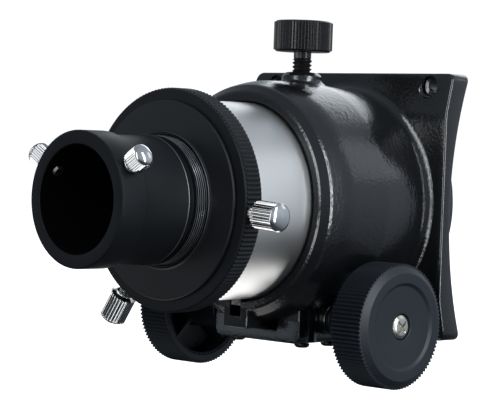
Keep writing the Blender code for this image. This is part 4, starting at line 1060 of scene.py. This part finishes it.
def make_panel(name, azimuths, elevations, radiance, colour, *endings):
    """A soft panel that covers a range of azimuths and elevations, in degrees, from the object."""
    elevation = math.radians(sum(elevations) / 2)
    back = toward(math.radians(sum(azimuths) / 2), elevation)
    wide = math.radians(azimuths[1] - azimuths[0]) / 2
    high = math.radians(elevations[1] - elevations[0]) / 2
    lamp = bpy.data.lights.new(name, "AREA")
    lamp.shape = "RECTANGLE"
    lamp.size = 2 * PANEL_DISTANCE * math.tan(wide) * math.cos(elevation)
    lamp.size_y = 2 * PANEL_DISTANCE * math.tan(high)
    lamp.energy = radiance * math.pi * lamp.size * lamp.size_y
    lamp.color = colour
    light = bpy.data.objects.new(name, lamp)
    light.location = PANEL_CENTRE + back * PANEL_DISTANCE
    light.rotation_mode = "QUATERNION"
    light.rotation_quaternion = back.to_track_quat("Z", "Y")
    bpy.context.scene.collection.objects.link(light)
    if endings:
        receivers = bpy.data.collections.new(name + "_receivers")
        for piece in bpy.context.scene.objects:
            if piece.name.endswith(endings):
                receivers.objects.link(piece)
        light.light_linking.receiver_collection = receivers


def make_world():
    """A grey room, darker below and brighter to the right and the rear, seen as white."""
    world = bpy.data.worlds.new("studio")
    bpy.context.scene.world = world
    world.use_nodes = True
    tree = world.node_tree
    facing = add_node(tree, "TexCoord").outputs["Generated"]
    height = add_node(tree, "SeparateXYZ", Vector=facing).outputs["Z"]
    ramp = add_node(tree, "ValToRGB", Fac=spread(tree, height, From_Min=-1.0))
    ramp.color_ramp.elements.new(0.5)
    ramp.color_ramp.elements.new(0.65)
    for element, (position, grey) in zip(ramp.color_ramp.elements, (
            (0.20, 0.06), (0.50, 0.48), (0.62, 0.55), (1.0, 0.42))):
        element.position = position
        element.color = (grey * 0.88, grey * 0.99, grey * 1.12, 1.0)
    bright_side = add_node(tree, "VectorMath", Vector=facing)
    bright_side.operation = "DOT_PRODUCT"
    bright_side.inputs[1].default_value = (0.7, 0.714, 0.0)
    strength = spread(tree, bright_side.outputs["Value"], From_Min=-1.0, To_Min=0.42, To_Max=0.92)
    room = tree.nodes["Background"]
    tree.links.new(ramp.outputs["Color"], room.inputs["Color"])
    tree.links.new(strength, room.inputs["Strength"])
    backdrop = add_node(tree, "Background", Color=(1.0, 1.0, 1.0, 1.0), Strength=1.05)
    mix = add_node(tree, "MixShader", Fac=add_node(tree, "LightPath").outputs["Is Camera Ray"])
    tree.links.new(room.outputs[0], mix.inputs[1])
    tree.links.new(backdrop.outputs[0], mix.inputs[2])
    tree.links.new(mix.outputs[0], tree.nodes["World Output"].inputs["Surface"])


def make_camera():
    """The camera stands in front and to the right, almost level, with a long lens."""
    azimuth, elevation, roll = (math.radians(v) for v in (
        CAMERA_AZIMUTH, CAMERA_ELEVATION, CAMERA_ROLL))
    back = toward(azimuth, elevation)
    level = Vector((math.cos(azimuth), math.sin(azimuth), 0.0))
    upward = back.cross(level)
    right = math.cos(roll) * level + math.sin(roll) * upward
    top = math.cos(roll) * upward - math.sin(roll) * level
    lens = bpy.data.cameras.new("camera")
    lens.sensor_width = SENSOR
    lens.lens = LENS
    camera = bpy.data.objects.new("camera", lens)
    camera.matrix_world = Matrix.Translation(CAMERA_TARGET + back * CAMERA_DISTANCE) @ Matrix(
        (right, top, back)).transposed().to_4x4()
    bpy.context.scene.collection.objects.link(camera)
    bpy.context.scene.camera = camera


make_floor()
make_world()
make_camera()
for panel, settings in PANELS.items():
    make_panel(panel, *settings)
bpy.context.scene.view_settings.view_transform = "Standard"
